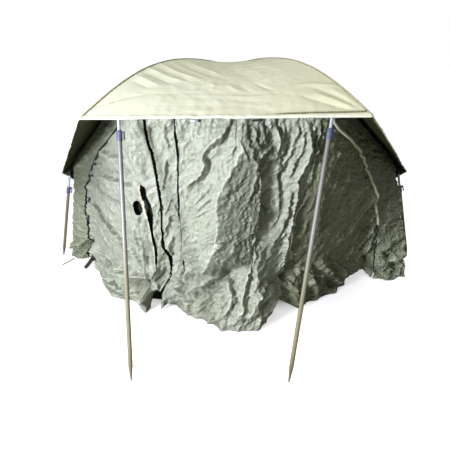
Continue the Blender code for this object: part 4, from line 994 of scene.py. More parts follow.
def drawn_tube(name, base, dull, metallic, gloss):
    """Drawn metal tube: long polishing lines, handling marks and dull patches."""
    finish = Finish(name)
    place = finish.place()
    lines = finish.noise(finish.place(stretch=(60, 60, 1.5)), 6, detail=4, rough=0.7)
    marks = finish.noise(place, 30, detail=4).between(0.5, 0.75)
    scratches = finish.noise(finish.place(stretch=(9, 9, 40)), 12, detail=2).between(0.66, 0.72)
    finish.colour(finish.mix(marks * 0.45 + (lines - 0.4) * 0.3, base, dull))
    finish.metal(metallic - 0.25 * marks)
    finish.rough(gloss + 0.18 * marks + 0.12 * (lines - 0.4))
    finish.emboss(0.6 * lines + 0.4 * scratches, 0.0003, 0.5)
    return finish.material


def pole_paint(name):
    """The lower tubes: silver-beige where the hand slides them, olive-tan paint further down,
    chipped and rubbed, dull with earth near the spike."""
    finish = Finish(name, Specular_IOR_Level=0.45)
    place = finish.place()
    height = finish.axis(place, 2)
    worn = (height + 0.16 * (finish.noise(place, 9, detail=4) - 0.5)).between(0.34, 0.86)
    rub = finish.noise(place, 70, detail=5, rough=0.7).between(0.56, 0.68)
    earth = (0.20 - height + 0.1 * (finish.noise(place, 24, detail=4) - 0.5)).between(0.0, 0.16)
    runs = finish.noise(finish.place(stretch=(50, 50, 2)), 5, detail=3)
    tone = finish.mix(runs, srgb(108, 104, 76), srgb(134, 128, 98))
    tone = finish.mix(worn, tone, srgb(136, 135, 130))
    tone = finish.mix(rub * 0.4, tone, srgb(142, 139, 122))
    tone = finish.mix(earth * 0.6, tone, srgb(92, 84, 62))
    finish.colour(tone)
    finish.metal(worn * 0.25 + rub * 0.15)
    finish.rough(0.55 - 0.10 * worn + 0.2 * earth + 0.08 * runs)
    finish.emboss(0.5 * runs + 0.5 * finish.noise(place, 240, detail=3), 0.0003, 0.5)
    return finish.material


def moulded_plastic(name, base, scuffed, gloss=0.45):
    """Moulded plastic with a fine spark grain, scuffed pale on its high spots."""
    finish = Finish(name, Specular_IOR_Level=0.45)
    place = finish.place()
    scuffs = finish.noise(place, 55, detail=5, rough=0.7).between(0.52, 0.74)
    finish.colour(finish.mix(scuffs * 0.5, base, scuffed))
    finish.rough(gloss + 0.2 * scuffs)
    finish.emboss(finish.noise(place, 900, detail=2), 0.00025, 0.5)
    return finish.material


WALL_NYLON = wall_nylon("wall_nylon", srgb(162, 167, 148), srgb(174, 179, 163), srgb(104, 108, 80), 0.38)
WINDOW_NYLON = wall_nylon("window_nylon", srgb(128, 133, 106), srgb(148, 153, 128),
                          srgb(80, 84, 58), 0.34, 0.6)
WING_NYLON = wall_nylon("wing_nylon", srgb(138, 144, 120), srgb(158, 164, 144),
                        srgb(84, 90, 60), 0.36, 1.2)
CANOPY_OUTSIDE = canopy_cloth_finish("canopy_outside", srgb(226, 228, 203), srgb(232, 234, 216),
                                     srgb(210, 208, 174), srgb(184, 184, 158))
CANOPY_INSIDE = canopy_cloth_finish("canopy_inside", srgb(50, 55, 12), srgb(60, 66, 18),
                                    srgb(48, 50, 18), srgb(36, 38, 12), 0.6, 0.0)
# The dark mesh behind the door, also used for the dark sheets that stand in for shade behind the arches.
DOOR_MESH_AND_GAP_SHADE = wall_nylon("door_mesh", srgb(24, 26, 16), srgb(34, 36, 22), srgb(12, 13, 8), 0.6)
HEM_TAPE = plain_binding("hem_tape", srgb(232, 231, 214), srgb(214, 211, 186))
SEAM_TAPE = plain_binding("seam_tape", srgb(204, 202, 176), srgb(180, 177, 148))
PALE_PIPING = plain_binding("pale_piping", srgb(206, 206, 178), srgb(222, 220, 198))
DARK_STITCH = plain_binding("dark_stitch", srgb(84, 82, 56), srgb(120, 116, 84), 0.6)
BLACK_WEBBING = plain_binding("black_webbing", srgb(26, 27, 28), srgb(58, 60, 60), 0.55)
GREY_WEBBING = plain_binding("grey_webbing", srgb(132, 134, 124), srgb(164, 165, 154), 0.6)
ZIP_TEETH = moulded_plastic("zip_teeth", srgb(30, 31, 28), srgb(66, 68, 60), 0.4)
SLOT_FINISHES = {
    "rib_steel": drawn_tube("rib_steel_finish", srgb(56, 58, 52), srgb(84, 84, 74), 0.75, 0.4),
    "bare_aluminium": drawn_tube("aluminium_finish", srgb(214, 218, 232), srgb(182, 186, 200), 0.3, 0.3),
    "olive_paint": pole_paint("pole_paint_finish"),
    "red_pull": moulded_plastic("red_pull_finish", srgb(176, 36, 42), srgb(206, 92, 92), 0.35),
    "dark_plastic": moulded_plastic("dark_plastic_finish", srgb(36, 38, 42), srgb(78, 80, 84)),
    "grey_plastic": moulded_plastic("grey_plastic_finish", srgb(94, 100, 122), srgb(160, 164, 180), 0.38),
    "zip_plastic": ZIP_TEETH,
}


# Pieces of the front wall

def keep(piece, body, slot, *nodes):
    """Attaches a finished piece to the body it rides on and hides the nodes that it replaces, and gives it
    a mesh of its own where that body gathers as the umbrella folds. The slot is not used."""
    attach(piece, body)
    if nodes:
        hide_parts(*nodes)
    if body in GATHERED:
        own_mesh(piece)
    return piece


def door_hole(left_join, right_join):
    """Rounds the grid's corners to the door's small opening and says which faces are inside."""
    def off_middle(shares):
        """How far shares of the panel lie off the opening's middle: 1 is its edge."""
        down = 1 - shares[..., 1]
        left = join_place(left_join, down, 1)
        width = join_place(right_join, down, -1) - left
        place = left + width * shares[..., 0]
        across = (place - HOLE_PLACE) * WALL_HALF_WIDTH / HOLE_WIDTH
        along = (down - HOLE_DOWN) * WALL_DROP / HOLE_HEIGHT
        return across, along, width

    def inside(share):
        across, along, _ = off_middle(share)
        return np.hypot(across, along) < HOLE_CUT

    def hole(shares):
        across, along, width = off_middle(shares)
        reach = np.hypot(across, along)
        close = (reach > HOLE_ROUNDED[0]) & (reach < HOLE_ROUNDED[1])
        outward = np.where(close, 1 / np.maximum(reach, HOLE_ROUNDED[0]) - 1, 0)
        moved_across = across * outward * HOLE_WIDTH / WALL_HALF_WIDTH / width
        moved_down = along * outward * HOLE_HEIGHT / WALL_DROP
        return shares + np.stack((moved_across, -moved_down), -1), inside

    return hole


def wall_sheet(name, left_join, right_join, size, material, nodes, body="front_wall",
               slot="wall_cloth", hole=None):
    """One sewn panel of the hanging wall, between two joins or the ends of a wing."""
    def rule(across, up):
        down = 1 - up
        left = join_place(left_join, down, 1)
        right = join_place(right_join, down, -1)
        place = left + (right - left) * across
        points, _, shade = wall_points(place, down)
        return points, shade

    columns = round(size[0] / WALL_MESH)
    rows = round(size[1] / WALL_MESH)
    piece = grid_piece(name, columns, rows, rule, material, size, hole)
    thicken(piece, CLOTH_THICKNESS)
    keep(piece, body, slot, *nodes)


wall_sheet("left_door_cloth", LEFT_ARCH, THIRD_LINE, (0.72, 1.42), WALL_NYLON,
           ["left_door_panel"], hole=door_hole(LEFT_ARCH, THIRD_LINE))
wall_sheet("door_edge_cloth", THIRD_LINE, CURVED_LINE, (0.10, 1.42), WALL_NYLON, [])
wall_sheet("door_leaf_cloth", CURVED_LINE, STRAIGHT_LINE, (0.17, 1.42), WALL_NYLON,
           ["door_leaf_panel"])
wall_sheet("centre_wall_cloth", STRAIGHT_LINE, WINDOW_LINE, (0.98, 1.50), WALL_NYLON,
           ["centre_wall_panel"])
wall_sheet("window_wall_cloth", WINDOW_LINE, RIGHT_ARCH, (0.80, 1.42), WINDOW_NYLON,
           ["window_wall_panel"])
wall_sheet("left_wing_sheet", LEFT_END, LEFT_ARCH, (0.40, 1.05), WING_NYLON,
           ["left_wing"], "left_wing_cloth", "wing_cloth")
wall_sheet("right_wing_sheet", RIGHT_ARCH, RIGHT_END, (0.46, 1.12), WING_NYLON,
           ["right_wing"], "right_wing_cloth", "wing_cloth")


def backing_sheet(name, left_join, right_join, overlap, start, end, depth, width, body):
    """The dark mesh that hangs behind the door's openings, and the dark sheets behind the arched joins,
    which stand in for the shade seen through their gaps.
    """
    def rule(across, up):
        down = start + (end - start) * (1 - up)
        left = join_place(left_join, down, 0) - overlap
        right = join_place(right_join, down, 0) + overlap
        points, _, _ = wall_points(left + (right - left) * across, down, -depth)
        return points

    size = (width, WALL_DROP * (end - start))
    columns = round(size[0] / BACKING_MESH)
    rows = round(size[1] / BACKING_MESH)
    piece = grid_piece(name, columns, rows, rule, DOOR_MESH_AND_GAP_SHADE, size)
    thicken(piece, CLOTH_THICKNESS)
    keep(piece, body, "wall_cloth")


backing_sheet("door_mesh_sheet", MESH_LEFT, MESH_RIGHT, 0, 0.02, 0.975, 0.045, 0.66, "front_wall")
# Dark sheets that stand in for the shade seen through the arches' gaps.
backing_sheet("left_arch_backing", LEFT_ARCH, LEFT_ARCH, 0.06, 0.10, 0.96, 0.022, 0.13,
              "left_wing_cloth")
backing_sheet("right_arch_backing", RIGHT_ARCH, RIGHT_ARCH, 0.06, 0.12, 0.86, 0.022, 0.13,
              "right_wing_cloth")


JOIN_POINTS = 90
CORD_END = 0.6


def join_run(join, start, end, side=0, lift=0.0, steps=JOIN_POINTS):
    """Points along a join, or beside its gap, with the way the wall faces there."""
    down = np.linspace(start, end, steps)
    points, facing, _ = wall_points(join_place(join, down, side), down, lift)
    return points, facing


def join_cord(name, join, start, end, radius, material, body, slot, side=0, lift=0.0, wave=0.0):
    """A piping, zip chain or bound edge along a join, thinner at its ends."""
    points, facing = join_run(join, start, end, side, lift)
    steps = np.arange(len(points))
    points = points + facing * (wave * lattice_noise(steps * 0.55, steps * 0.0 + 0.4, 31))[:, None]
    radii = radius * (1 + 0.12 * lattice_noise(steps * 0.8, steps * 0.0 + 0.7, 32))
    radii[[0, -1]] *= CORD_END
    return keep(cord_piece(name, points, radii, material), body, slot)


def join_tape(name, join, start, end, side, lift, width, material, crown, widths=None):
    """A flat tape or flap beside a join."""
    points, facing = join_run(join, start, end, side, lift)
    piece = ribbon_piece(name, points, facing, width, material, crown, widths=widths)
    keep(piece, "front_wall", "wall_cloth")


for name, join, foot in (("curved_zip", CURVED_LINE, 0.985), ("straight_zip", STRAIGHT_LINE, 0.80)):
    for label, side in (("left", -1), ("right", 1)):
        chain = join_cord(f"{name}_{label}_teeth", join, 0.02, foot, 0.0016, ZIP_TEETH,
                          "front_wall", "zip_plastic", side, lift=0.0006)
        if side < 0:
            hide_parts(name + "_tape")
join_cord("slit_binding", THIRD_LINE, 0.372, 0.80, 0.0030, PALE_PIPING, "front_wall",
          "wall_cloth", side=-1, lift=0.001, wave=0.002)
join_cord("slit_far_binding", THIRD_LINE, 0.372, 0.80, 0.0018, ZIP_TEETH, "front_wall",
          "zip_plastic", side=1)
# The left arch's black piping is a binding and also stands in for the shade in the arch's gap.
join_cord("left_arch_piping", LEFT_ARCH, 0.05, 0.985, 0.0066, BLACK_WEBBING, "left_wing_cloth",
          "zip_plastic", lift=0.003, wave=0.004)
join_cord("right_arch_piping", RIGHT_ARCH, 0.03, 0.58, 0.0100, PALE_PIPING, "right_wing_cloth",
          "wing_cloth", lift=0.010, wave=0.005)
join_cord("right_arch_foot_piping", RIGHT_ARCH, 0.52, 0.97, 0.0050, BLACK_WEBBING,
          "right_wing_cloth", "zip_plastic", wave=0.003)
join_tape("window_edge_tape", WINDOW_LINE, 0.405, 0.775, 1, 0.005, 0.008, HEM_TAPE, 0.0015)
join_tape("slit_flap", THIRD_LINE, 0.44, 0.525, -1, 0.003, 0.014, PALE_PIPING, 0.003)

SLIDER_HALF_LENGTH = 0.009
SLIDER_RADIUS = 0.0058
SLIDER_TAPER = 0.18
PULL_TOP = 0.002
PULL_FOOT = 0.026
PULL_WIDTH = 0.0085
PULL_LIFT = 0.006
PULL_THICKNESS = 0.0018


def zip_slider(name, join, down, turn, finish, slot, body):
    """A zip's slider with its bridge and its hanging pull."""
    here, facing = join_run(join, down - 0.01, down + 0.01, 0, 0.003, 3)
    centre, out = here[1], facing[1]
    run = here[0] - here[2]
    run /= np.linalg.norm(run)
    across = np.cross(out, run)
    steps = np.linspace(-1, 1, 11)
    wedge = centre + run * (steps * SLIDER_HALF_LENGTH)[:, None]
    radii = SLIDER_RADIUS * (1 + SLIDER_TAPER * steps) * np.sqrt(1.03 - steps ** 8)
    keep(cord_piece(name + "_wedge", wedge, radii, SLOT_FINISHES["dark_plastic"], 10), body,
         "dark_plastic", name)
    hang = -run * cos(turn) + across * sin(turn)
    tail = np.linspace(PULL_TOP, PULL_FOOT, 12)
    pull = centre + out * PULL_LIFT + hang * tail[:, None] - out * (0.18 * tail)[:, None]
    widths = np.interp(tail, (PULL_TOP, 0.008, 0.024, PULL_FOOT), (0.005, PULL_WIDTH, PULL_WIDTH, 0.006))
    facing_out = np.tile(out, (len(tail), 1))
    tab = ribbon_piece(name + "_pull", pull, facing_out, PULL_WIDTH, finish, 0.0004, 4, widths)
    thicken(tab, PULL_THICKNESS)
    keep(tab, body, slot)


zip_slider("curved_zip_slider", CURVED_LINE, 0.47, 0.3, SLOT_FINISHES["dark_plastic"],
           "dark_plastic", "curved_slider")
zip_slider("straight_zip_slider", STRAIGHT_LINE, 0.862, -0.5, SLOT_FINISHES["red_pull"],
           "red_pull", "straight_slider")

FLAP_WIDTHS = np.interp(np.arange(JOIN_POINTS), (0, 14, 89), (0.004, 0.030, 0.003))
join_tape("window_flap", WINDOW_LINE, 0.41, 0.50, -1, 0.004, 0.03, HEM_TAPE, 0.003, FLAP_WIDTHS)

UPWARD = np.array((0.0, 0.0, 1.0))
TOGGLE_HALF_LENGTH = 0.022
TOGGLE_RADIUS = 0.0068
TOGGLE_WAIST = 0.25
LOOP_LENGTH = 0.019
LOOP_ASIDE = 0.012
LOOP_WIDTH = 0.010
LOOP_RISE = 0.005
LOOP_CORD_RADIUS = 0.0036

# Toggles along the arched joins: (place, down, turn)
LEFT_TOGGLES = ((-0.93, 0.185, 0.5), (-0.985, 0.245, 0.3), (-1.055, 0.41, 1.1), (-1.065, 0.56, 1.3),
                (-1.05, 0.84, 0.9))
RIGHT_TOGGLES = ((0.94, 0.275, 0.4), (1.035, 0.62, 0.8))


def toggle(name, place, down, turn):
    """A barrel toggle in its elastic loop, as holds the wing to the wall."""
    here, facing, _ = wall_points(np.array([place, place]), np.array([down, down]), 0.006)
    centre, out = here[0], facing[0]
    level = np.cross(UPWARD, out)
    level /= np.linalg.norm(level)
    long_way = level * cos(turn) + UPWARD * sin(turn)
    cross_way = np.cross(out, long_way)
    steps = np.linspace(-1, 1, 15)
    barrel = centre + long_way * (steps * TOGGLE_HALF_LENGTH)[:, None] + out * 0.004
    waist = 1 - TOGGLE_WAIST * np.cos(steps * pi * 2) * (np.abs(steps) < 0.5)
    radii = TOGGLE_RADIUS * waist * np.sqrt(1.02 - steps ** 8)
    barrel_piece = cord_piece(name + "_toggle", barrel, radii, SLOT_FINISHES["dark_plastic"], 12)
    keep(barrel_piece, "front_wall", "dark_plastic")
    angles = np.linspace(0, 2 * pi * 0.97, 28)
    loop = (centre + cross_way * (LOOP_LENGTH * np.sin(angles) + LOOP_ASIDE)[:, None]
            + long_way * (LOOP_WIDTH * np.cos(angles))[:, None]
            + out * (LOOP_RISE * np.cos(2 * angles))[:, None])
    loop_piece = cord_piece(name + "_loop", loop, LOOP_CORD_RADIUS, GREY_WEBBING)
    keep(loop_piece, "front_wall", "dark_plastic")


for side_name, spots in (("left", LEFT_TOGGLES), ("right", RIGHT_TOGGLES)):
    for number, (place, down, turn) in enumerate(spots):
        toggle(f"{side_name}_hook_{number + 1}", place, down, turn)

STRAP_STEPS = 24
STRAP_FACING = (0.0, -0.35, 0.94)
STRAP_THICKNESS = 0.0016


def strap(name, points, width, material, body):
    """A short webbing tail that lies as its points say."""
    points = np.asarray(points, float)
    steps = np.linspace(0, len(points) - 1, STRAP_STEPS)
    rows = np.arange(len(points))
    smooth = np.stack([smooth_through(steps, rows, points[:, axis]) for axis in range(3)], -1)
    facing = np.tile(STRAP_FACING, (STRAP_STEPS, 1))
    piece = ribbon_piece(name, smooth, facing, width, material, 0.0004)
    thicken(piece, STRAP_THICKNESS)
    keep(piece, body, "wing_cloth")


strap("left_corner_strap", ((-1.075, 1.225, 0.135), (-1.09, 1.20, 0.112), (-1.11, 1.17, 0.086),
                            (-1.135, 1.145, 0.060)), 0.034, BLACK_WEBBING, "left_wing_cloth")
strap("left_hem_tail", ((-1.27, 1.31, 0.070), (-1.30, 1.29, 0.055), (-1.335, 1.275, 0.040),
                        (-1.36, 1.27, 0.030)), 0.016, GREY_WEBBING, "left_wing_cloth")

# Canopy

GORE_LENGTH = 1.56
GORE_HEM_WIDTH = 1.34

# The share of a gore's rows that runs in over the hub, and how far in it runs
NECK_ROWS = 0.04
NECK_REACH = -0.9

# The step in shares over which a gore's facing is taken, and the least length that gives one
CLOTH_STEP = 0.004
LEAST_LENGTH = 1e-9

# The curved seam of the front gore's peak: (across from the right rib, share out) points
PEAK_SEAM = ((1.0, 0.945), (0.973, 0.928), (0.90, 0.865), (0.833, 0.828), (0.70, 0.802),
             (0.527, 0.795), (0.36, 0.803), (0.25, 0.818), (0.187, 0.858), (0.13, 0.915),
             (0.057, 0.958), (0.0, 0.965))

# Creases of the front gore: height, reach, then (across from the right rib, share out) points
FRONT_CREASES = (
    (0.010, 0.022, ((1.0, 0.50), (0.82, 0.585), (0.62, 0.665))),
    (-0.008, 0.018, ((1.0, 0.545), (0.84, 0.62), (0.66, 0.69))),
    (0.010, 0.022, ((0.99, 0.58), (0.84, 0.645), (0.69, 0.70))),
    (-0.008, 0.018, ((0.985, 0.625), (0.86, 0.68), (0.74, 0.73))),
    (0.007, 0.018, ((0.98, 0.67), (0.88, 0.72), (0.80, 0.755))),
    (0.007, 0.022, ((0.95, 0.36), (0.74, 0.47), (0.50, 0.60))),
    (0.006, 0.014, ((0.97, 0.44), (0.80, 0.53), (0.58, 0.635))),
    (-0.005, 0.012, ((0.93, 0.42), (0.72, 0.535), (0.48, 0.66))),
    (-0.005, 0.012, ((0.97, 0.72), (0.90, 0.75), (0.84, 0.785))),
    (-0.005, 0.018, ((0.66, 0.67), (0.62, 0.72), (0.63, 0.78))),
    (-0.005, 0.012, ((0.44, 0.70), (0.42, 0.745), (0.38, 0.79))),
    (0.006, 0.012, ((0.50, 0.70), (0.47, 0.74), (0.44, 0.785))),
    (-0.006, 0.012, ((0.36, 0.70), (0.32, 0.745), (0.29, 0.795))),
    (0.006, 0.014, ((0.57, 0.69), (0.56, 0.73), (0.57, 0.78))),
    (0.009, 0.018, ((0.0, 0.80), (0.10, 0.765), (0.20, 0.75))),
    (-0.008, 0.016, ((0.03, 0.955), (0.045, 0.89), (0.10, 0.80), (0.15, 0.765))),
    (0.009, 0.018, ((0.03, 0.965), (0.075, 0.90), (0.15, 0.82))),
    (-0.007, 0.014, ((0.05, 0.965), (0.12, 0.91), (0.20, 0.835))),
    (0.007, 0.018, ((0.02, 0.93), (0.03, 0.86), (0.06, 0.79))),
    (0.005, 0.020, ((0.10, 0.60), (0.28, 0.66), (0.40, 0.70))),
)


def cloth_facing(gore, across, share):
    """The outward direction of a gore's skin."""
    def step_between(step_across, step_out):
        far = gore_points(gore, across + step_across, share + step_out, CANOPY_LIFT)
        near = gore_points(gore, across - step_across, share - step_out, CANOPY_LIFT)
        return far - near

    level = np.cross(step_between(CLOTH_STEP, 0), step_between(0, CLOTH_STEP))
    length = np.linalg.norm(level, axis=-1, keepdims=True)
    return np.where(length > LEAST_LENGTH, level / np.maximum(length, LEAST_LENGTH), HUB_UP)


def on_gore(points):
    """(across, share out) points of the front gore in metres across and out."""
    return [((place - 0.5) * GORE_HEM_WIDTH * out, out * GORE_LENGTH) for place, out in points]


def gore_relief(gore, across, share):
    """Wrinkles of the stretched canopy: slack between ribs, tight at ribs and hem."""
    seed = 40 + 10 * list(GORES).index(gore)
    x = (across - 0.5) * GORE_HEM_WIDTH * np.clip(share, 0, 1)
    y = share * GORE_LENGTH
    inner = np.sin(pi * np.clip(across, 0, 1)) ** 0.5 * ease(share, 0.05, 0.25)
    relief = 0.0035 * inner * lattice_noise(x / 0.22, y / 0.34, seed)
    lean = 0.9 if gore == "front_gore" else 0.0
    relief += 0.0011 * inner * creased(x, y, 0.16, seed + 1, lean)[0]
    relief += 0.0006 * inner * creased(x, y, 0.06, seed + 5, 0.5, 2.8)[0]
    hem = ease(share, 0.80, 0.98)
    relief += 0.0016 * hem * inner * lattice_noise(x / 0.035, y / 0.25, seed + 2)
    if gore != "front_gore":
        pull = np.minimum(across, 1 - across) * GORE_HEM_WIDTH
        fan = lattice_noise(across * 9, share * 2.2, seed + 3)
        near_rib = np.exp(-pull / 0.20) * np.clip(pull / 0.02, 0, 1)
        return relief + 0.004 * near_rib * fan * ease(share, 0.3, 0.6)
    for height, reach, points in FRONT_CREASES:
        away, _, along = beside_line(x, y, on_gore(points))
        fade = ease(1 - along, 0, 0.3) * ease(along, -0.1, 0.25)
        relief += 0.85 * height * fade * np.exp(-1.2 * away / reach)
    away, _, _ = beside_line(x, y, on_gore(PEAK_SEAM))
    pucker = 0.6 + 0.4 * lattice_noise(x / 0.018, y / 0.05, seed + 4)
    relief -= 0.0035 * pucker * np.exp(-away / 0.010)
    return relief * np.clip(np.minimum(across, 1 - across) / 0.015, 0, 1)


def gore_skin(gore, across, share, lift=0.0):
    """Points of the finished canopy, and the way they face."""
    facing = cloth_facing(gore, across, share)
    height = CANOPY_LIFT + CANOPY_THICKNESS + lift
    points = gore_points(gore, across, share, height)
    return points + facing * gore_relief(gore, across, share)[..., None], facing


def fold_with_canopy(piece):
    """Gives a piece on a gore a mesh of its own."""
    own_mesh(piece)


def canopy_sheet(name, columns, rows, rule, size, body, *nodes):
    """A sheet of the canopy's cloth: pale outside, dark coated inside."""
    piece = grid_piece(name, columns, rows, rule, CANOPY_OUTSIDE, size)
    piece.data.materials.append(CANOPY_INSIDE)
    thicken(piece, CANOPY_THICKNESS, -1, 1)
    return keep(piece, body, "canopy_cloth", *nodes)


def canopy_gore(gore, mesh):
    """One gore of the canopy, from under the hub's cap to its hem."""
    size = GORES[gore].flat

    def rule(across, along):
        neck = NECK_REACH * (1 - along / NECK_ROWS)
        share = np.where(along < NECK_ROWS, neck, (along - NECK_ROWS) / (1 - NECK_ROWS))
        points, _ = gore_skin(gore, across, share)
        return points

    piece = canopy_sheet(gore + "_cloth_sheet", round(size[0] / mesh), round(size[1] / mesh), rule,
                         size, gore + "_cloth", gore)
    fold_with_canopy(piece)


def rib_sleeve(gore, rib, side):
    """The reinforcing cloth under a gore along one rib, which covers the fold of the gore's edge."""
    def rule(across, share):
        wide = np.linalg.norm(gore_points(gore, 0 * across + 1, share, 0.0)
                              - gore_points(gore, 0 * across, share, 0.0), axis=-1)
        reach = np.minimum(SLEEVE_WIDTH / np.maximum(wide, 0.01), SLEEVE_WIDEST_SHARE)
        place = across * reach if side == 0 else 1 - (1 - across) * reach
        out = SLEEVE_START + SLEEVE_REACH * share
        points, _ = gore_skin(gore, place, out, -CANOPY_THICKNESS - SLEEVE_GAP)
        return points

    size = (SLEEVE_WIDTH, SLEEVE_LENGTH)
    piece = canopy_sheet(f"{gore}_{rib}_sleeve", 8, 90, rule, size, rib + "_rib_set")


# The hem band: the share of its rows up to its turn, and how far it goes on down from there
HEM_TURN = 0.6
HEM_DROP = 0.009
HEM_BULGE = 0.004
HEM_THICKNESS = 0.0012
HEM_LIFT = 0.0011
HEM_PUFF = 0.0012
HEM_RIPPLE = 0.0008
HEM_RIPPLE_PITCH = 0.03


def hem_band(gore, width):
    """The doubled hem along a gore's free edge, turned down and under."""
    def rule(across, along):
        up = np.clip(1 - along / HEM_TURN, 0, 1) * width
        over = np.clip((along - HEM_TURN) / (1 - HEM_TURN), 0, 1)
        points, facing = gore_skin(gore, across, 1 - up / GORE_LENGTH, HEM_LIFT)
        puffed = HEM_PUFF * np.sin(pi * np.clip(along / HEM_TURN, 0, 1)) ** 0.5
        run = across * GORE_HEM_WIDTH / HEM_RIPPLE_PITCH
        ripple = HEM_RIPPLE * lattice_noise(run, along * 0 + 0.3, 91)
        bulge = gore_outward(gore) * (HEM_BULGE * np.sin(pi * over))[:, None]
        turn = bulge - UPWARD * (HEM_DROP * over)[:, None]
        return points + facing * (puffed + ripple * (over == 0))[:, None] + turn

    piece = grid_piece(gore + "_hem_band", 130, 12, rule, HEM_TAPE, (GORE_HEM_WIDTH, width + HEM_DROP))
    thicken(piece, HEM_THICKNESS, -1)
    keep(piece, gore + "_cloth", "canopy_cloth")
    fold_with_canopy(piece)


for gore, parts in GORES.items():
    in_front = gore == "front_gore"
    canopy_gore(gore, CANOPY_MESH if in_front else PLAIN_GORE_MESH)
    hem_band(gore, 0.024 if in_front else 0.018)
    rib_sleeve(gore, parts.first, 0)
    rib_sleeve(gore, parts.second, 1)

SEAM_END = 0.998
SEAM_WIDTH = 0.020
SEAM_CROWN = 0.0016


def rib_seam(rib):
    """The felled seam over a rib, from under the hub's cap to the hem."""
    share = np.linspace(0.0, SEAM_END, 90)
    line = RIBS[rib]
    low = line.skin(share, CANOPY_LIFT + CANOPY_THICKNESS)
    facing = line.skin(share, CANOPY_LIFT + CANOPY_THICKNESS + 1) - low
    piece = ribbon_piece(rib + "_seam", low + facing * CLOTH_THICKNESS / 2, facing, SEAM_WIDTH,
                         SEAM_TAPE, SEAM_CROWN, 6)
    thicken(piece, CLOTH_THICKNESS, 1)
    keep(piece, rib + "_rib_set", "canopy_cloth")


for rib in RIB_TIPS:
    rib_seam(rib)


def peak_seam():
    """The curved seam of the front gore's peak."""
    table = np.array(PEAK_SEAM)
    steps = np.linspace(0.02, 0.98, 150)
    corners = np.linspace(0, 1, len(table))
    across = np.interp(steps, corners, table[:, 0])
    share = np.interp(steps, corners, table[:, 1])
    points, facing = gore_skin("front_gore", across, share, 0.0006)
    piece = ribbon_piece("peak_seam", points, facing, 0.009, SEAM_TAPE, 0.0012)
    keep(piece, "front_gore_cloth", "canopy_cloth")
    fold_with_canopy(piece)


peak_seam()

# The twisted stitching: from where to where across, how far out, and how it winds
TWIST_START = 0.36
TWIST_END = 0.012
TWIST_OUT = 0.981
TWIST_SLANT = 0.004
TWIST_PITCH = 0.014
TWIST_SWING = 0.0016
TWIST_RISE = 0.0032
TWIST_RADIUS = 0.0027
THINNEST_THREAD = 0.0004


def hem_twist():
    """The puckered, twisted stitching above the hem on the right half of the front edge."""
    across = np.linspace(TWIST_START, TWIST_END, 420)
    share = TWIST_OUT - TWIST_SLANT * (TWIST_START - across) / TWIST_START
    points, facing = gore_skin("front_gore", across, share, 0.0014)
    run = (TWIST_START - across) * GORE_HEM_WIDTH
    turn = run * 2 * pi / TWIST_PITCH
    points = points + facing * (TWIST_SWING * np.sin(turn))[:, None]
    points = points + UPWARD * (TWIST_RISE * np.cos(turn))[:, None]
    radii = TWIST_RADIUS * ease(run, -0.002, 0.10) * (1 + 0.35 * np.sin(2 * turn))
    piece = cord_piece("hem_twist", points, np.maximum(radii, THINNEST_THREAD), DARK_STITCH, 6)
    keep(piece, "front_gore_cloth", "canopy_cloth")
    fold_with_canopy(piece)


hem_twist()

EDGE_FITTING_SETBACK = 0.012
EDGE_FITTING_DROP = 0.007
EDGE_FITTING_SLANT = 0.06


def edge_fitting(name, x, length, radius, slot):
    """A small fitting under the front edge: a chrome stud, a black toggle."""
    steps = np.linspace(-1, 1, 13)
    middle = np.array((x, EDGE_FITTING_SETBACK, FRONT_HEIGHT - EDGE_FITTING_DROP))
    along = np.array((1.0, 0.0, EDGE_FITTING_SLANT))
    spots = middle + along * (steps * length)[:, None]
    radii = radius * np.sqrt(1.02 - steps ** 6)
    piece = cord_piece(name, spots, radii, SLOT_FINISHES[slot], 12)
    keep(piece, "front_gore_cloth", slot)
    fold_with_canopy(piece)


edge_fitting("edge_stud", -0.145, 0.014, 0.0085, "bare_aluminium")
edge_fitting("edge_stud_cap", -0.118, 0.008, 0.0065, "dark_plastic")
edge_fitting("edge_toggle", 0.150, 0.028, 0.0055, "dark_plastic")

# Fittings that the frame brings

def finish_of(name, held):
    """The finish for a slot of one of the frame's nodes, if it has one."""
    if name.endswith("_spike"):
        return SLOT_FINISHES["olive_paint"]
    for slot, finish in SLOT_FINISHES.items():
        if held.material and slot in held.material.name:
            return finish
    return None


for name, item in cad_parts.items():
    for held in item.material_slots:
        finish = finish_of(name, held)
        if finish and not item.hide_render:
            held.material = finish

# Camera, lights and floor

view = bpy.data.objects.new("camera", bpy.data.cameras.new("camera"))
bpy.context.scene.collection.objects.link(view)
view.data.sensor_width = CAMERA_SENSOR_MM
view.data.lens = CAMERA_LENS_MM
ahead = Vector((sin(CAMERA_YAW) * cos(CAMERA_PITCH), cos(CAMERA_YAW) * cos(CAMERA_PITCH),
                -sin(CAMERA_PITCH)))
level = Vector((cos(CAMERA_YAW), -sin(CAMERA_YAW), 0))
upward = level.cross(ahead)
side_way = level * cos(CAMERA_ROLL) + upward * sin(CAMERA_ROLL)
up_way = upward * cos(CAMERA_ROLL) - level * sin(CAMERA_ROLL)
turned = Matrix((side_way, up_way, -ahead)).transposed().to_4x4()
turned.translation = Vector(in_frame(CAMERA_PLACE))
view.matrix_world = turned
bpy.context.scene.camera = view
bpy.context.scene.view_settings.view_transform = "Standard"


def lamp(name, kind, towards, energy, size, colour, place=(0, 0, 0)):
    """A lamp that shines from a direction, and an area lamp from a place."""
    data = bpy.data.lights.new(name, kind)
    data.energy = energy
    data.color = colour
    if kind == "SUN":
        data.angle = size
    else:
        data.shape = "DISK"
        data.size = size
    item = bpy.data.objects.new(name, data)
    bpy.context.scene.collection.objects.link(item)
    item.rotation_euler = Vector(towards).to_track_quat("Z", "Y").to_euler()
    item.location = place


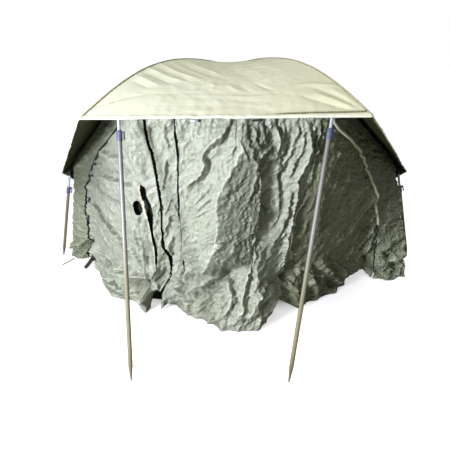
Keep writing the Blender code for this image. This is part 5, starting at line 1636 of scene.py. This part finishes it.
KEY_PLACE = np.array((-2.15, -2.15, 1.25))
KEY_TARGET = np.array((0.0, 0.40, 0.70))
lamp("key_light", "AREA", KEY_PLACE - KEY_TARGET, energy=182, size=0.8, colour=(0.975, 1.0, 1.13),
     place=in_frame(KEY_PLACE))
lamp("fill_light", "SUN", (0.10, -0.95, 0.22), energy=0.30, size=radians(20), colour=(1.0, 1.0, 0.86))
lamp("top_light", "SUN", (-0.12, -0.28, 0.95), energy=2.1, size=radians(30), colour=(1.0, 1.0, 0.94))

# The world: white where the camera sees it, fainter in gloss, and faint as light on the object
WORLD_LIGHT = 0.07
GLOSS_BACKDROP = 0.25

world = bpy.data.worlds.new("studio")
bpy.context.scene.world = world
world.use_nodes = True
studio = NodeTree(world.node_tree)
rays = studio.add("ShaderNodeLightPath").outputs
shiny = Value(studio, rays["Is Glossy Ray"]).highest(rays["Is Transmission Ray"])
seen = (GLOSS_BACKDROP * shiny).highest(rays["Is Camera Ray"])
backdrop = studio.nodes["Background"]
backdrop.inputs["Color"].default_value = (1, 1, 1, 1)
studio.feed(backdrop.inputs["Strength"], WORLD_LIGHT + (1 - WORLD_LIGHT) * seen)

# The floor: pale and glowing up to white, with a painted shadow: a dark oval without glow where the shelter
# stands
FLOOR_HALF_SIZE = 30
FLOOR_PALE = (0.80, 0.80, 0.80, 1)
FLOOR_SHADED = (0.08, 0.08, 0.07, 1)
FLOOR_TO_LIGHT = (0.22, 0.22, 0.20, 1)
FLOOR_GLOW = 0.62
SHADE_BACK = 0.285
SHADE_WIDE = 0.95
SHADE_LONG = 0.76
SHADE_EDGE = (0.72, 1.0)
BLACK = (0, 0, 0, 1)
WHITE = (1, 1, 1, 1)


def studio_floor():
    """The floor's finish, with its painted shadow oval. Light that it throws back is dull, so that it
    doesn't light the cloth.
    """
    finish = Finish("studio_floor", Roughness=0.9)
    oval = finish.place(shift=(0, -SHADE_BACK / SHADE_LONG, 0), stretch=(1 / SHADE_WIDE, 1 / SHADE_LONG, 0))
    reach = finish.add("ShaderNodeVectorMath", {"operation": "LENGTH"}, {0: oval}).outputs["Value"]
    outside = Value(finish, reach).between(*SHADE_EDGE)
    # Painted shadow: dark and without glow inside the oval.
    finish.colour(finish.mix(outside, FLOOR_SHADED, FLOOR_PALE))
    shine = finish.mix(outside, BLACK, WHITE)
    glow = finish.add("ShaderNodeEmission", {}, {"Color": shine, "Strength": FLOOR_GLOW}).outputs[0]
    glowing = finish.add("ShaderNodeAddShader", {}, {0: finish.shader.outputs[0], 1: glow}).outputs[0]
    dull = finish.add("ShaderNodeBsdfDiffuse", {}, {"Color": FLOOR_TO_LIGHT}).outputs[0]
    to_camera = finish.add("ShaderNodeLightPath").outputs["Is Camera Ray"]
    shown = finish.add("ShaderNodeMixShader", {}, {0: to_camera, 1: dull, 2: glowing}).outputs[0]
    finish.feed(finish.nodes["Material Output"].inputs["Surface"], shown)
    return finish.material


floor_shape = bmesh.new()
bmesh.ops.create_grid(floor_shape, x_segments=1, y_segments=1, size=FLOOR_HALF_SIZE)
new_piece("floor", floor_shape, studio_floor(), smooth=False)
